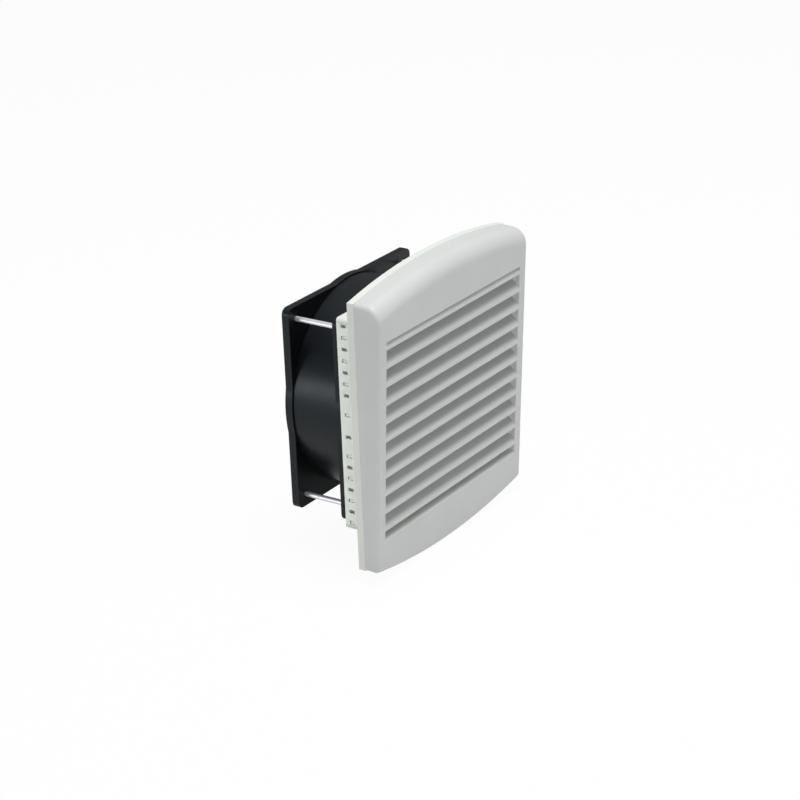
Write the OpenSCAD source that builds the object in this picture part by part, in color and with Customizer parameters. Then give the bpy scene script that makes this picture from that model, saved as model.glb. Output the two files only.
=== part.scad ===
// Cabinet filter fan: a louvred cover and a filter mat in a base frame that snaps into a panel cut-out,
// with an axial fan screwed to the back of the frame.
// X is right as seen from the front, Y runs back into the cabinet and Z is up. Sizes are in millimetres.
// The origin is the centre of the cut-out, on the plane where the base flange meets the panel.

/* [Front cover] */

// width of the cover and of the base flange
face_w = 150; // [146:1:170]
// height of the straight sides
side_h = 155; // [150:1:180]
// rise of the bowed top and bottom edges
bow = 7.5; // [5:0.5:10]
// depth of the cover at the foot of its straight sides
cover_low = 8.2; // [8:0.1:12]
// depth of the cover at the head of its straight sides
cover_high = 16.5; // [14:0.1:20]
// radius of the roll along the top edge
roll_r = 9; // [6:0.5:12]
// radius of the bottom front edge
foot_r = 2.5; // [2.2:0.1:4]
// radius of the upright front edges
edge_r = 3; // [2.2:0.1:5]
// wall of the cover
cover_wall = 2; // [1.5:0.1:2]
// gap between the cover's rim and the base flange
rim_gap = 0.05; // [0.02:0.01:0.2]

/* [Louvres] */

// distance from the louvred recess to the cover's sides
louvre_side = 7.5; // [6:0.5:12]
// number of slats
louvre_n = 11; // [8:1:11]
// distance from one slat to the next
louvre_pitch = 10.67; // [9.5:0.01:11]
// distance from the outer slats to the ends of the recess
louvre_margin = 3.5; // [2.5:0.1:5]
// height of the middle of the recess
louvre_z = -0.5; // [-2:0.1:2]
// thickness of a slat
slat_t = 2; // [1.6:0.1:2.4]
// radius of a slat's nose
nose_r = 1.9; // [1.4:0.1:1.9]
// depth of a slat behind the front face
slat_run = 6.5; // [5.5:0.1:7]
// rise of a slat over that depth
slat_rise = 9.5; // [8:0.1:11]
// wall round the recess
collar_t = 1.6; // [1.2:0.1:2]
// depth of the wall round the recess
collar_d = 7; // [6:0.1:7.4]
// thickness of the ribs behind the slats
rib_t = 2; // [1.5:0.1:2.5]
// distance of the inner ribs from the middle
rib_x = 20; // [15:1:40]
// width of a cover tongue
tongue_w = 12; // [8:0.5:16]
// height of a tongue above or below the middle
tongue_z = 35; // [25:1:42]
// reach of a tongue past the panel plane
tongue_reach = 4; // [2:0.5:6]
// gap between a tongue and the frame
tongue_gap = 0.15; // [0.1:0.01:0.3]

/* [Base frame] */

// thickness of the base flange
flange_t = 4.2; // [3.5:0.1:6]
// outside of the square spigot
spigot_w = 124; // [123:0.5:126]
// depth of the spigot behind the panel plane
spigot_d = 16.8; // [16:0.1:22]
// wall of the spigot
spigot_wall = 3; // [2.6:0.1:3.2]
// radius of the spigot's corners
spigot_r = 2; // [1.5:0.1:3]
// thickness of the spigot's rear wall
rear_wall = 3; // [2:0.1:4]
// round opening in the rear wall
air_d = 115; // [110:1:116]
// depth of the finger guard
guard_d = 4.8; // [4:0.1:6]
// thickness of the guard's rim, rings and spokes
guard_t = 1.8; // [1.4:0.1:2.4]
// number of guard spokes
guard_n = 8; // [8:4:12]
// number of guard rings
guard_rings = 5; // [4:1:6]
// gap round the guard in the spigot
guard_gap = 0.15; // [0.1:0.05:0.3]
// thickness of the filter mat
filter_t = 10; // [8:0.5:11]
// gap from the mat to the tongues
filter_gap = 0.85; // [0.5:0.05:2]
// width of the seal's groove
seal_w = 6; // [4:0.5:7]
// depth of the seal's groove
seal_t = 1.5; // [1:0.1:2]
// distance from the spigot to the seal
seal_gap = 2; // [1.5:0.1:3]
// radius of a screw boss
boss_r = 5; // [4.5:0.1:5.5]

/* [Snap strips] */

// thickness of a snap strip
strip_t = 1.3; // [1.1:0.1:1.4]
// height of a snap strip
strip_h = 118.6; // [118.2:0.1:119]
// distance from the panel plane to the strip
strip_y = 1.2; // [0.8:0.1:2]
// height of a window
window_h = 2; // [1.6:0.1:2.4]
// length of a window along the spigot
window_l = 3.5; // [3:0.1:4]
// distance from the rear of the spigot to the middle of a window
window_y = 4.5; // [4:0.1:5]
// distance from one window to the next
window_pitch = 6.67; // [6.4:0.01:6.7]
// height of the first window of a row
window_z = 17.8; // [16:0.1:18]
// height of the window nearest the middle
window_mid = 6.5; // [5:0.1:8]
// depth of the groove behind the windows
window_d = 0.8; // [0.5:0.1:0.9]

/* [Fan frame] */

// side of the square fan flanges
fan_w = 119; // [118:0.5:121]
// depth of the fan
fan_d = 38; // [37:0.5:45]
// thickness of a fan flange
fan_flange_t = 4.6; // [4.2:0.1:6]
// radius of the flange corners
fan_corner_r = 4; // [3:0.5:6]
// distance between the screw holes
hole_pitch = 104.8; // [104:0.1:105]
// outside of the barrel between the flanges
barrel_d = 120; // [119:0.5:121]
// how far the round collar of each flange stands out from the barrel
collar_lip = 1; // [0.5:0.1:1.5]
// wall of the barrel
barrel_wall = 2.7; // [2.2:0.1:3]
// radius of the inlet and outlet lips
lip_r = 1.6; // [1:0.1:2]
// width of a strut
strut_w = 8; // [7.5:0.1:10]
// thickness of a strut
strut_t = 5; // [4.6:0.1:5.4]
// distance from a strut to the rear face of the fan
strut_in = 0.4; // [0.2:0.1:0.8]
// number of struts
strut_n = 3; // [3:1:4]
// angle of the strut that carries the leads, seen from the front
lead_angle = -45; // [-45:90:315]
// radius of the motor base
base_r = 31; // [30:0.1:32]
// thickness of the motor base plate
plate_t = 3; // [2.5:0.1:3.2]
// distance from the front of the motor base to the rear of the fan
base_d = 6.5; // [6.3:0.1:7]
// thickness of the motor cap
cap_t = 1.5; // [1:0.1:1.5]
// width of the rim round the motor cap
cap_rim = 2.5; // [2:0.1:3]
// width of the ledge under the motor cap
cap_ledge = 1.5; // [1:0.1:2]

/* [Fasteners] */

// diameter of the fan screws
screw_d = 3; // [2.8:0.1:4]
// clearance round a screw in the fan flanges
screw_gap = 0.65; // [0.1:0.05:0.7]
// diameter of a screw head
head_d = 6.5; // [6:0.1:8.5]
// height of a screw head
head_h = 2.4; // [2.2:0.1:3]
// radius of a screw head's edge
head_r = 1; // [0.8:0.1:1.2]
// length across the cross recess in a head
cross_l = 3.6; // [3:0.1:4]
// width of a slot of the cross
cross_w = 1; // [0.8:0.1:1.2]
// depth of the cross
cross_d = 1.3; // [1:0.1:1.6]
// diameter of a washer
washer_d = 8; // [7:0.1:10]
// thickness of a washer
washer_t = 0.8; // [0.5:0.1:1]
// diameter of a threaded insert
insert_d = 5; // [4.6:0.1:6.4]
// length of a threaded insert
insert_l = 6.5; // [5:0.1:6.6]
// length of each knurled band of an insert
knurl_l = 2.6; // [2:0.1:3]
// depth of the plain waist between the bands
insert_waist = 0.25; // [0.2:0.05:0.4]
// room behind an insert in its hole
insert_room = 0.5; // [0.3:0.1:1]

/* [Motor] */

// diameter of the shaft
shaft_d = 4; // [3.6:0.1:4]
// running clearance of the shaft in a bush
shaft_gap = 0.03; // [0.02:0.01:0.06]
// outside of a bush
bush_d = 9; // [8.6:0.1:9.4]
// length of a bush
bush_l = 7; // [5:0.1:8]
// room round the shaft in the oil felt
felt_gap = 0.4; // [0.3:0.05:0.6]
// outside of the bearing tube
tube_d = 15; // [14:0.1:16]
// outside of the tube's shoulder
shoulder_d = 18; // [17:0.1:20]
// outside of the stator
stator_d = 52; // [50:0.1:52]
// length of the stator stack
stator_l = 13.5; // [11:0.1:14.5]
// width of a stator pole
pole_w = 9; // [8:0.1:10]
// depth of the pole shoes
shoe_t = 3.5; // [3:0.1:4]
// width of the mouth of a stator slot
slot_mouth = 2.4; // [2:0.1:3]
// air gap between the stator and the rotor
air_gap = 0.35; // [0.32:0.01:0.6]
// thickness of the rotor ring
rotor_t = 2.65; // [2.2:0.05:3]
// length of the rotor ring beyond each end of the stack
rotor_over = 1; // [0.5:0.1:1.5]
// thickness of a rotor end ring
end_ring_t = 1.5; // [1:0.1:2]
// how far an end ring stays back from the rotor's bore
end_ring_in = 0.3; // [0.2:0.1:0.5]
// thickness of a stator insulator
insulator_t = 0.8; // [0.5:0.1:1]
// how far an insulator stays inside the stator's edge
insulator_in = 1.5; // [1:0.1:2]
// build of a coil beyond its pole
coil_t = 2.8; // [2:0.1:3]
// height of the coil ends
coil_end = 2.5; // [2:0.1:2.6]
// room between a coil and the yoke
coil_yoke_gap = 1; // [0.8:0.1:1.2]
// room between a coil and its pole shoe
coil_shoe_gap = 1.7; // [1.5:0.1:2]
// diameter of a motor lead
lead_d = 1.5; // [1.2:0.1:1.6]
// distance of each lead from the middle of its strut
lead_x = 1.6; // [1.4:0.1:1.8]
// room round a lead in its groove
lead_gap = 0.2; // [0.1:0.05:0.3]
// gap between the fan's barrel and the terminal block
block_gap = 1; // [0.5:0.1:2]
// least room between the terminal block and a screw
block_room = 0.3; // [0.2:0.1:0.5]
// width of a tab
tab_w = 2.8; // [2.5:0.1:3]
// thickness of a tab
tab_t = 0.5; // [0.4:0.1:0.8]
// length of a tab outside its block
tab_l = 8; // [6:0.5:9]
// length of the terminal block
block_l = 10; // [8:0.5:12]
// width of the terminal block
block_w = 12; // [9:0.5:13]
// depth of the terminal block
block_t = 6; // [5:0.1:6.4]
// width of the groove between the tabs
groove_w = 1.3; // [1:0.1:1.6]
// depth of that groove
groove_d = 1; // [0.5:0.1:1.5]

/* [Impeller] */

// wall of the hub
hub_wall = 2.5; // [2:0.1:3]
// thickness of the hub's front
hub_front = 2.5; // [2:0.1:3]
// distance from the front of the fan to the hub
hub_in = 2; // [1.5:0.1:3]
// distance from the hub to the motor base
hub_gap = 1.5; // [1:0.1:2]
// gap between the blades and the barrel
tip_gap = 0.95; // [0.6:0.05:1.5]
// number of blades
blade_n = 5; // [4:1:7]
// thickness of a blade
blade_t = 2.4; // [1.8:0.1:3]
// how far a blade's root stays ahead of the hub's rear
blade_rear = 1.5; // [1:0.1:2]
// how much further ahead its tip stays
blade_lift = 3; // [2:0.1:4]
// turn of a blade round the axis at its root
wrap_root = 42; // [35:1:48]
// turn of a blade round the axis at its tip
wrap_tip = 48; // [35:1:50]
// how strongly a blade is curved
camber = 0.35; // [0:0.05:0.5]
// how far a blade's tip leans round the axis
sweep = -10; // [-20:1:20]
// diameter of the brass boss in the hub
boss_d = 12; // [10:0.1:14]
// length of the brass boss
boss_l = 4.7; // [4:0.1:4.9]
// thickness of the front thrust washer
thrust_t = 0.5; // [0.3:0.1:0.6]
// how far the thrust washers stay inside the bushes' edge
thrust_in = 0.4; // [0.2:0.1:0.6]
// play between the thrust washers and the bushes
play = 0.3; // [0.15:0.01:0.4]
// thickness of the retaining ring
ring_t = 0.6; // [0.4:0.1:0.7]
// diameter of the retaining ring
ring_d = 7; // [6:0.1:7.4]
// width of the opening in the retaining ring
ring_slot = 1.8; // [1.5:0.1:2.2]
// depth of the ring's groove in the shaft
ring_groove = 0.4; // [0.3:0.05:0.5]

/* [Hidden] */

// gap round a round piece seated in a hole
seat = 0.03;
// how far the rear bush, and the shaft past its ring, stand out
bush_over = 0.5;
// how far the ribs reach into the slats, and the screws stop short of the inserts' ends
rib_sink = 1.2;
screw_short = 0.3;
// length of the cone at a screw's tip
screw_cone = 0.5;
// smoothness of curves
$fn = 96;

// radius of the bowed edges, and the height of its centre below the middle for the top edge
bow_r = (face_w * face_w / 4 + bow * bow) / (2 * bow);
bow_c = side_h / 2 + bow - bow_r;
// lean of the cover's front face, and where it crosses the middle height
tilt = atan((cover_high - cover_low) / side_h);
front_y = -flange_t - (cover_low + cover_high) / 2;
// top and bottom of the bowed outline at the rim, in the leaning frame of the front face
rim_d = (cover_low + cover_high) / 2;
top_z = (side_h / 2 + bow) * cos(tilt) - rim_d * sin(tilt);
foot_z = -(side_h / 2 + bow) * cos(tilt) - rim_d * sin(tilt);
louvre_w = face_w - 2 * louvre_side;
recess_h = (louvre_n - 1) * louvre_pitch + 2 * louvre_margin;
// length that reaches past every part in a cut, and a depth that reaches past the cover's rim
far = 400;
past_rim = 60;
// inside of the spigot, and the square filter mat
chamber_w = spigot_w - 2 * spigot_wall;
tongue_x = chamber_w / 2 - tongue_gap - rib_t / 2;
mat_w = 2 * (tongue_x - rib_t / 2 - filter_gap);
guard_end = spigot_d - rear_wall;
guard_y = guard_end - guard_d;
guard_w = chamber_w - 2 * guard_gap;
filter_y = guard_y - filter_t;
seal_in = spigot_w + 2 * seal_gap;
seal_out = seal_in + 2 * seal_w;
hole_xz = hole_pitch / 2;
// stations of the fan along its axis
fan_y = spigot_d;
fan_end = fan_y + fan_d;
rear_y = fan_end - fan_flange_t;
bore_r = barrel_d / 2 - barrel_wall;
plate_y = fan_end - base_d;
plate_end = plate_y + plate_t;
hub_y = fan_y + hub_in;
hub_end = plate_y - hub_gap;
core_mid = (hub_y + hub_front + hub_end) / 2;
core_y = core_mid - stator_l / 2;
core_end = core_mid + stator_l / 2;
coil_y = core_y - insulator_t - coil_end;
coil_rear = core_end + insulator_t + coil_end;
rotor_in = stator_d / 2 + air_gap;
hub_in_r = rotor_in + rotor_t;
hub_r = hub_in_r + hub_wall;
tip_r = bore_r - tip_gap;
cap_r = base_r - cap_rim;
boss_end = hub_y + boss_l;
tube_y = boss_end + thrust_t + play;
rear_bush_end = plate_y + bush_over;
thrust_y = rear_bush_end + play;
ring_y = thrust_y + thrust_t;
shaft_end = ring_y + ring_t + bush_over;
lead_y = plate_end + lead_d / 2 + seat;
lead_r = 18;
// distance of the tabs from the fan's axis
tab_r = barrel_d / 2 + block_gap + block_t / 2;
// radius of a lead's bends
lead_bend_r = 1;
slot_r = stator_d / 2 - shoe_t;
yoke_r = 13;

// a flat shape in X and Z, drawn out from one depth to another
module slab(y0, y1) {
    translate([0, y1, 0])
        rotate([90, 0, 0])
            linear_extrude(y1 - y0)
                children();
}

// a round bar along Y
module bar(y0, y1, r) {
    translate([0, y0, 0])
        rotate([-90, 0, 0])
            cylinder(h = y1 - y0, r = r);
}

// a round tube along Y
module pipe(y0, y1, r_in, r_out) {
    difference() {
        bar(y0, y1, r_out);
        bar(y0 - 1, y1 + 1, r_in);
    }
}

// a shape turned round the Y axis: first number radius, second number depth
module turned() {
    rotate([-90, 0, 0])
        rotate_extrude()
            children();
}

// a box given by its two corners
module block(a, b) {
    translate(a)
        cube(b - a);
}

// a square with round corners
module soft_square(w, r) {
    square([w, w - 2 * r], center = true);
    square([w - 2 * r, w], center = true);
    for (x = [-1, 1], z = [-1, 1])
        translate([x * (w / 2 - r), z * (w / 2 - r)])
            circle(r);
}

// copies at the four screw places
module at_screws() {
    for (x = [-1, 1], z = [-1, 1])
        translate([x * hole_xz, 0, z * hole_xz])
            children();
}

// turned about the fan's axis, seen from the front, anticlockwise
module spun(a) {
    rotate([0, -a, 0])
        children();
}

// outline shared by the cover and the base flange
module outline() {
    intersection() {
        translate([0, bow_c])
            circle(bow_r);
        translate([0, -bow_c])
            circle(bow_r);
        square([face_w, 2 * side_h], center = true);
    }
}

// the frame of the leaning front face: Y is zero on the face and grows to the back
module leaning() {
    translate([0, front_y, 0])
        rotate([tilt, 0, 0])
            children();
}

// a thick disc with its front edge rounded, set in by a wall
module bowed_disc(z, r, wall) {
    round_r = r - wall;
    outer = bow_r - wall;
    translate([0, 0, z])
        turned() {
            translate([0, wall])
                square([outer - round_r, past_rim]);
            translate([0, r])
                square([outer, past_rim]);
            translate([outer - round_r, r])
                circle(round_r);
        }
}

// the solid form of the cover, set in by a wall
module cover_form(wall) {
    half = face_w / 2 - wall;
    round_r = edge_r - wall;
    leaning()
        intersection() {
            bowed_disc(top_z - bow_r, roll_r, wall);
            bowed_disc(foot_z + bow_r, foot_r, wall);
            linear_extrude(far, center = true) {
                translate([-half, edge_r])
                    square([2 * half, past_rim]);
                translate([round_r - half, wall])
                    square([2 * (half - round_r), past_rim]);
                for (x = [-1, 1])
                    translate([x * (half - round_r), edge_r])
                        circle(round_r);
            }
        }
}

// a box in the leaning frame, centred on the recess
module recess_box(w, h, y0, y1) {
    leaning()
        translate([-w / 2, y0, louvre_z - h / 2])
            cube([w, y1 - y0, h]);
}

// section of one slat: a round nose and a plate that rises to the back
module slat_section() {
    lean = atan(slat_rise / slat_run);
    drop = slat_t / cos(lean);
    translate([nose_r, 0])
        circle(nose_r);
    polygon([
        [nose_r * (1 - sin(lean)), nose_r * cos(lean)],
        [slat_run, nose_r * cos(lean) + (slat_run - nose_r * (1 - sin(lean))) * tan(lean)],
        [slat_run, nose_r * cos(lean) + (slat_run - nose_r * (1 - sin(lean))) * tan(lean) - drop],
        [nose_r, -nose_r * 0.2]
    ]);
}

// the louvre slats, cut off inside the wall of the recess
module slats() {
    intersection() {
        leaning()
            for (i = [0 : louvre_n - 1])
                translate([-louvre_w / 2 - collar_t / 2, 0,
                    louvre_z + (i - (louvre_n - 1) / 2) * louvre_pitch])
                    rotate([90, 0, 90])
                        linear_extrude(louvre_w + collar_t)
                            slat_section();
        recess_box(louvre_w + collar_t, recess_h + collar_t, 0, slat_run);
    }
}

// ribs behind the slats: the outer pair carries the tongues, the inner pair holds the mat back
module cover_ribs() {
    for (x = [-1, 1]) {
        intersection() {
            leaning()
                translate([x * tongue_x - rib_t / 2, slat_run - rib_sink,
                    louvre_z - recess_h / 2 - collar_t / 2])
                    cube([rib_t, past_rim, recess_h + collar_t]);
            block([-far, -far, -far], [far, -flange_t - rim_gap, far]);
        }
        intersection() {
            leaning()
                translate([x * rib_x - rib_t / 2, slat_run - rib_sink,
                    louvre_z - recess_h / 2 - collar_t / 2])
                    cube([rib_t, past_rim, recess_h + collar_t]);
            block([-far, -far, -mat_w / 2], [far, filter_y - 2 * rim_gap, mat_w / 2]);
        }
        for (z = [-1, 1])
            block([x * tongue_x - rib_t / 2, -flange_t - rib_sink, z * tongue_z - tongue_w / 2],
                [x * tongue_x + rib_t / 2, tongue_reach, z * tongue_z + tongue_w / 2]);
    }
}

module front_cover() {
    color([0.79, 0.80, 0.79]) {
        difference() {
            intersection() {
                union() {
                    difference() {
                        cover_form(0);
                        cover_form(cover_wall);
                    }
                    intersection() {
                        cover_form(cover_wall / 2);
                        recess_box(louvre_w + 2 * collar_t, recess_h + 2 * collar_t, 0, collar_d);
                    }
                }
                block([-far, -far, -far], [far, -flange_t - rim_gap, far]);
            }
            recess_box(louvre_w, recess_h, -past_rim, past_rim);
        }
        slats();
        cover_ribs();
    }
}

module base_frame() {
    color([0.82, 0.83, 0.82])
        difference() {
            union() {
                difference() {
                    union() {
                        slab(-flange_t, 0)
                            outline();
                        slab(-flange_t / 2, spigot_d)
                            soft_square(spigot_w, spigot_r);
                    }
                    slab(-flange_t - 1, guard_end)
                        square(chamber_w, center = true);
                    bar(0, spigot_d + 1, air_d / 2);
                    slab(-seal_t, 1)
                        seal_ring();
                    for (x = [0, 1])
                        mirror([x, 0, 0])
                            strip_room();
                }
                at_screws()
                    bar(guard_y, spigot_d - rear_wall / 2, boss_r);
            }
            at_screws()
                bar(spigot_d - insert_l - insert_room, spigot_d + 1, insert_d / 2 + seat);
        }
}

// room in the spigot's side for a strip and for the teeth behind it
module strip_room() {
    face = spigot_w / 2;
    window_c = spigot_d - window_y;
    block([-face - 1, strip_y, -strip_h / 2 - seat], [strip_t - face, spigot_d + 1, strip_h / 2 + seat]);
    block([-face, window_c - window_l / 2, -window_top() - window_h / 2],
        [strip_t + window_d - face, window_c + window_l / 2, window_top() + window_h / 2]);
}

// height of the outermost window
function window_top() = window_z + 6 * window_pitch;

// outline of the seal and of its groove
module seal_ring() {
    difference() {
        square(seal_out, center = true);
        square(seal_in, center = true);
    }
}

module panel_seal() {
    color([0.15, 0.15, 0.16])
        slab(-seal_t, 0)
            seal_ring();
}

module filter_mat() {
    color([0.93, 0.93, 0.90])
        slab(filter_y, guard_y)
            square(mat_w, center = true);
}

// a grille on the spigot's rear wall that carries the mat and keeps fingers out of the fan
module finger_guard() {
    ring_out = guard_w / 2 - guard_t * 0.7;
    color([0.80, 0.81, 0.80])
        slab(guard_y, guard_end)
            difference() {
                union() {
                    difference() {
                        square(guard_w, center = true);
                        square(guard_w - 2 * guard_t, center = true);
                    }
                    for (k = [1 : guard_rings])
                        difference() {
                            circle(k * ring_out / guard_rings + guard_t / 2);
                            circle(k * ring_out / guard_rings - guard_t / 2);
                        }
                    circle(ring_out / guard_rings / 2);
                    for (i = [0 : guard_n / 2 - 1])
                        rotate(i * 360 / guard_n)
                            square([guard_w - guard_t, guard_t], center = true);
                }
                for (x = [-1, 1], z = [-1, 1])
                    translate([x * hole_xz, z * hole_xz])
                        circle(boss_r + guard_gap);
            }
}

// one window, and in every other one a spring tooth
module window(z) {
    face = spigot_w / 2;
    window_c = spigot_d - window_y;
    block([-face - 1, window_c - window_l / 2, z - window_h / 2],
        [strip_t - face + 1, window_c + window_l / 2, z + window_h / 2]);
}

module tooth(z) {
    face = spigot_w / 2;
    window_c = spigot_d - window_y;
    block([strip_t * 0.3 - face, window_c - window_l / 2 - 0.3, z - window_h * 0.36],
        [strip_t * 0.75 - face, window_c + window_l * 0.3, z + window_h * 0.36]);
}

module snap_strip() {
    face = spigot_w / 2;
    rows = [0 : 6];
    color([0.93, 0.94, 0.94]) {
        difference() {
            block([-face, strip_y, -strip_h / 2], [strip_t - face, spigot_d, strip_h / 2]);
            for (s = [-1, 1]) {
                window(s * window_mid);
                for (k = rows)
                    window(s * (window_z + k * window_pitch));
            }
        }
        tooth(window_mid);
        for (k = [1, 3, 5])
            tooth(window_z + k * window_pitch);
        for (k = [0, 2, 4, 6])
            tooth(-window_z - k * window_pitch);
    }
}

module left_snap_strip() {
    snap_strip();
}

module right_snap_strip() {
    mirror([1, 0, 0])
        snap_strip();
}

module screw_inserts() {
    color([0.80, 0.66, 0.35])
        at_screws()
            difference() {
                union() {
                    bar(spigot_d - insert_l, spigot_d, insert_d / 2 - insert_waist);
                    bar(spigot_d - knurl_l, spigot_d, insert_d / 2);
                    bar(spigot_d - insert_l, spigot_d - insert_l + knurl_l, insert_d / 2);
                }
                bar(spigot_d - insert_l - 1, spigot_d + 1, screw_d / 2 + seat);
            }
}

// the air passage with rounded lips, set in by a gap
module fan_bore(gap) {
    bar(fan_y - 1, fan_end + 1, bore_r - gap);
    turned() {
        difference() {
            translate([bore_r - 1, fan_y - 1])
                square([lip_r + 1, lip_r + 1]);
            translate([bore_r + lip_r, fan_y + lip_r])
                circle(lip_r + gap);
        }
        difference() {
            translate([bore_r - 1, fan_end - lip_r])
                square([lip_r + 1, lip_r + 1]);
            translate([bore_r + lip_r, fan_end - lip_r])
                circle(lip_r + gap);
        }
    }
}

// one fan flange: a square plate with a round collar that stands out past its sides
module fan_flange(y) {
    difference() {
        slab(y, y + fan_flange_t) {
            soft_square(fan_w, fan_corner_r);
            circle(barrel_d / 2 + collar_lip);
        }
        fan_bore(0);
        at_screws()
            bar(fan_y - 1, fan_end + 1, screw_d / 2 + screw_gap);
    }
}

// room for the leads along their strut, through the motor base and through the rear flange
module lead_room() {
    half = lead_d / 2 + lead_gap;
    spun(lead_angle) {
        block([cap_r - cap_ledge - 1, plate_end, -lead_x - half],
            [tab_r + half, fan_end + 1, lead_x + half]);
        for (s = [-1, 1], r = [lead_r, tab_r])
            translate([r, 0, s * lead_x])
                bar(plate_y - 1, plate_end + 1, half);
    }
}

// the fan frame is one casting, drawn as four nodes that meet: two flanges, the barrel and the motor base
module fan_front_flange() {
    color([0.10, 0.10, 0.11])
        fan_flange(fan_y);
}

module fan_barrel() {
    color([0.10, 0.10, 0.11])
        pipe(fan_y + fan_flange_t, rear_y, bore_r, barrel_d / 2);
}

module fan_rear_flange() {
    color([0.10, 0.10, 0.11])
        difference() {
            fan_flange(rear_y);
            lead_room();
        }
}

// the round motor base and the struts that hold it in the rear flange
module motor_base() {
    color([0.10, 0.10, 0.11])
        difference() {
            union() {
                bar(plate_y, fan_end, base_r);
                intersection() {
                    for (i = [0 : strut_n - 1])
                        spun(lead_angle + i * 360 / strut_n)
                            block([base_r - 2, fan_end - strut_t, -strut_w / 2],
                                [bore_r + lip_r, fan_end - strut_in, strut_w / 2]);
                    fan_bore(seat);
                }
            }
            bar(plate_y - 1, fan_end + 1, tube_d / 2 + seat);
            bar(plate_end, fan_end + 1, cap_r - cap_ledge);
            bar(fan_end - cap_t, fan_end + 1, cap_r + seat);
            lead_room();
        }
}

// one fan screw: a pan head with a cross recess at the rear, the thread end in the insert
module fan_screws() {
    seat_y = fan_end + washer_t;
    tip_y = spigot_d - insert_l + screw_short;
    color([0.80, 0.81, 0.83])
        at_screws()
            difference() {
                turned() {
                    translate([0, tip_y + screw_cone])
                        square([screw_d / 2, seat_y - tip_y]);
                    polygon([[0, tip_y], [screw_d / 2 - screw_cone, tip_y],
                        [screw_d / 2, tip_y + screw_cone], [0, tip_y + screw_cone]]);
                    translate([0, seat_y])
                        square([head_d / 2, head_h - head_r]);
                    translate([0, seat_y])
                        square([head_d / 2 - head_r, head_h]);
                    translate([head_d / 2 - head_r, seat_y + head_h - head_r])
                        circle(head_r);
                }
                for (a = [0, 90])
                    rotate([0, a, 0])
                        block([-cross_l / 2, seat_y + head_h - cross_d, -cross_w / 2],
                            [cross_l / 2, seat_y + head_h + 1, cross_w / 2]);
            }
}

module fan_washers() {
    color([0.78, 0.79, 0.80])
        at_screws()
            pipe(fan_end, fan_end + washer_t, screw_d / 2 + screw_gap / 2, washer_d / 2);
}

// a tab in the frame of the lead strut
module tab(s) {
    block([tab_r - tab_w / 2, rear_y - block_l - tab_l, s * lead_x - tab_t / 2],
        [tab_r + tab_w / 2, rear_y, s * lead_x + tab_t / 2]);
}

// terminal block on the rear flange, with room for the screws
module terminal_block() {
    color([0.16, 0.16, 0.17])
        difference() {
            spun(lead_angle)
                difference() {
                    block([tab_r - block_t / 2, rear_y - block_l, -block_w / 2],
                        [tab_r + block_t / 2, rear_y, block_w / 2]);
                    tab(-1);
                    tab(1);
                    block([tab_r - block_t, rear_y - block_l - 1, -groove_w / 2],
                        [tab_r + block_t, rear_y - block_l + groove_d, groove_w / 2]);
                }
            at_screws()
                bar(fan_y, fan_end, screw_d / 2 + block_room);
        }
}

module terminal_pins() {
    color([0.82, 0.72, 0.42])
        spun(lead_angle) {
            tab(-1);
            tab(1);
        }
}

// a quarter turn of a lead, from the axial run to the run along the strut
module lead_bend() {
    rotate_extrude(angle = 90)
        translate([lead_bend_r, 0])
            circle(lead_d / 2);
}

// two leads: from the tabs through the rear flange, along the strut, and through the plate to a coil
module motor_leads() {
    bend_y = lead_y - lead_bend_r;
    color([0.55, 0.16, 0.12])
        spun(lead_angle)
            for (s = [-1, 1])
                translate([0, 0, s * lead_x]) {
                    translate([tab_r, 0, 0])
                        bar(rear_y, bend_y, lead_d / 2);
                    translate([tab_r - lead_bend_r, bend_y, 0])
                        lead_bend();
                    translate([lead_r + lead_bend_r, lead_y, 0])
                        rotate([0, 90, 0])
                            cylinder(h = tab_r - lead_r - 2 * lead_bend_r, r = lead_d / 2);
                    translate([lead_r + lead_bend_r, bend_y, 0])
                        rotate([0, 0, 90])
                            lead_bend();
                    translate([lead_r, 0, 0])
                        bar(coil_rear, bend_y, lead_d / 2);
                }
}

module motor_cap() {
    color([0.62, 0.63, 0.64])
        bar(fan_end - cap_t, fan_end, cap_r);
}

module bearing_tube() {
    color([0.78, 0.65, 0.38])
        difference() {
            union() {
                bar(tube_y, plate_end, tube_d / 2);
                bar(core_end + insulator_t, plate_y, shoulder_d / 2);
            }
            bar(tube_y - 1, plate_end + 1, bush_d / 2 + seat);
        }
}

module front_bush() {
    color([0.60, 0.45, 0.25])
        pipe(tube_y, tube_y + bush_l, shaft_d / 2 + shaft_gap, bush_d / 2);
}

module rear_bush() {
    color([0.60, 0.45, 0.25])
        pipe(rear_bush_end - bush_l, rear_bush_end, shaft_d / 2 + shaft_gap, bush_d / 2);
}

module oil_felt() {
    color([0.75, 0.70, 0.58])
        pipe(tube_y + bush_l, rear_bush_end - bush_l, shaft_d / 2 + felt_gap, bush_d / 2);
}

// flat shape of the stator: a yoke round the tube, four poles with shoes, and four slots
module stator_shape(r) {
    difference() {
        circle(r);
        circle(tube_d / 2 + seat);
        difference() {
            circle(slot_r);
            circle(yoke_r);
            square([2 * far, pole_w], center = true);
            square([pole_w, 2 * far], center = true);
        }
        for (a = [45 : 90 : 315])
            rotate(a)
                translate([yoke_r, -slot_mouth / 2])
                    square([far, slot_mouth]);
    }
}

module stator_core() {
    color([0.45, 0.46, 0.48])
        spun(lead_angle)
            slab(core_y, core_end)
                stator_shape(stator_d / 2);
}

module front_insulator() {
    color([0.88, 0.86, 0.78])
        spun(lead_angle)
            slab(core_y - insulator_t, core_y)
                stator_shape(stator_d / 2 - insulator_in);
}

module rear_insulator() {
    color([0.88, 0.86, 0.78])
        spun(lead_angle)
            slab(core_end, core_end + insulator_t)
                stator_shape(stator_d / 2 - insulator_in);
}

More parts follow.
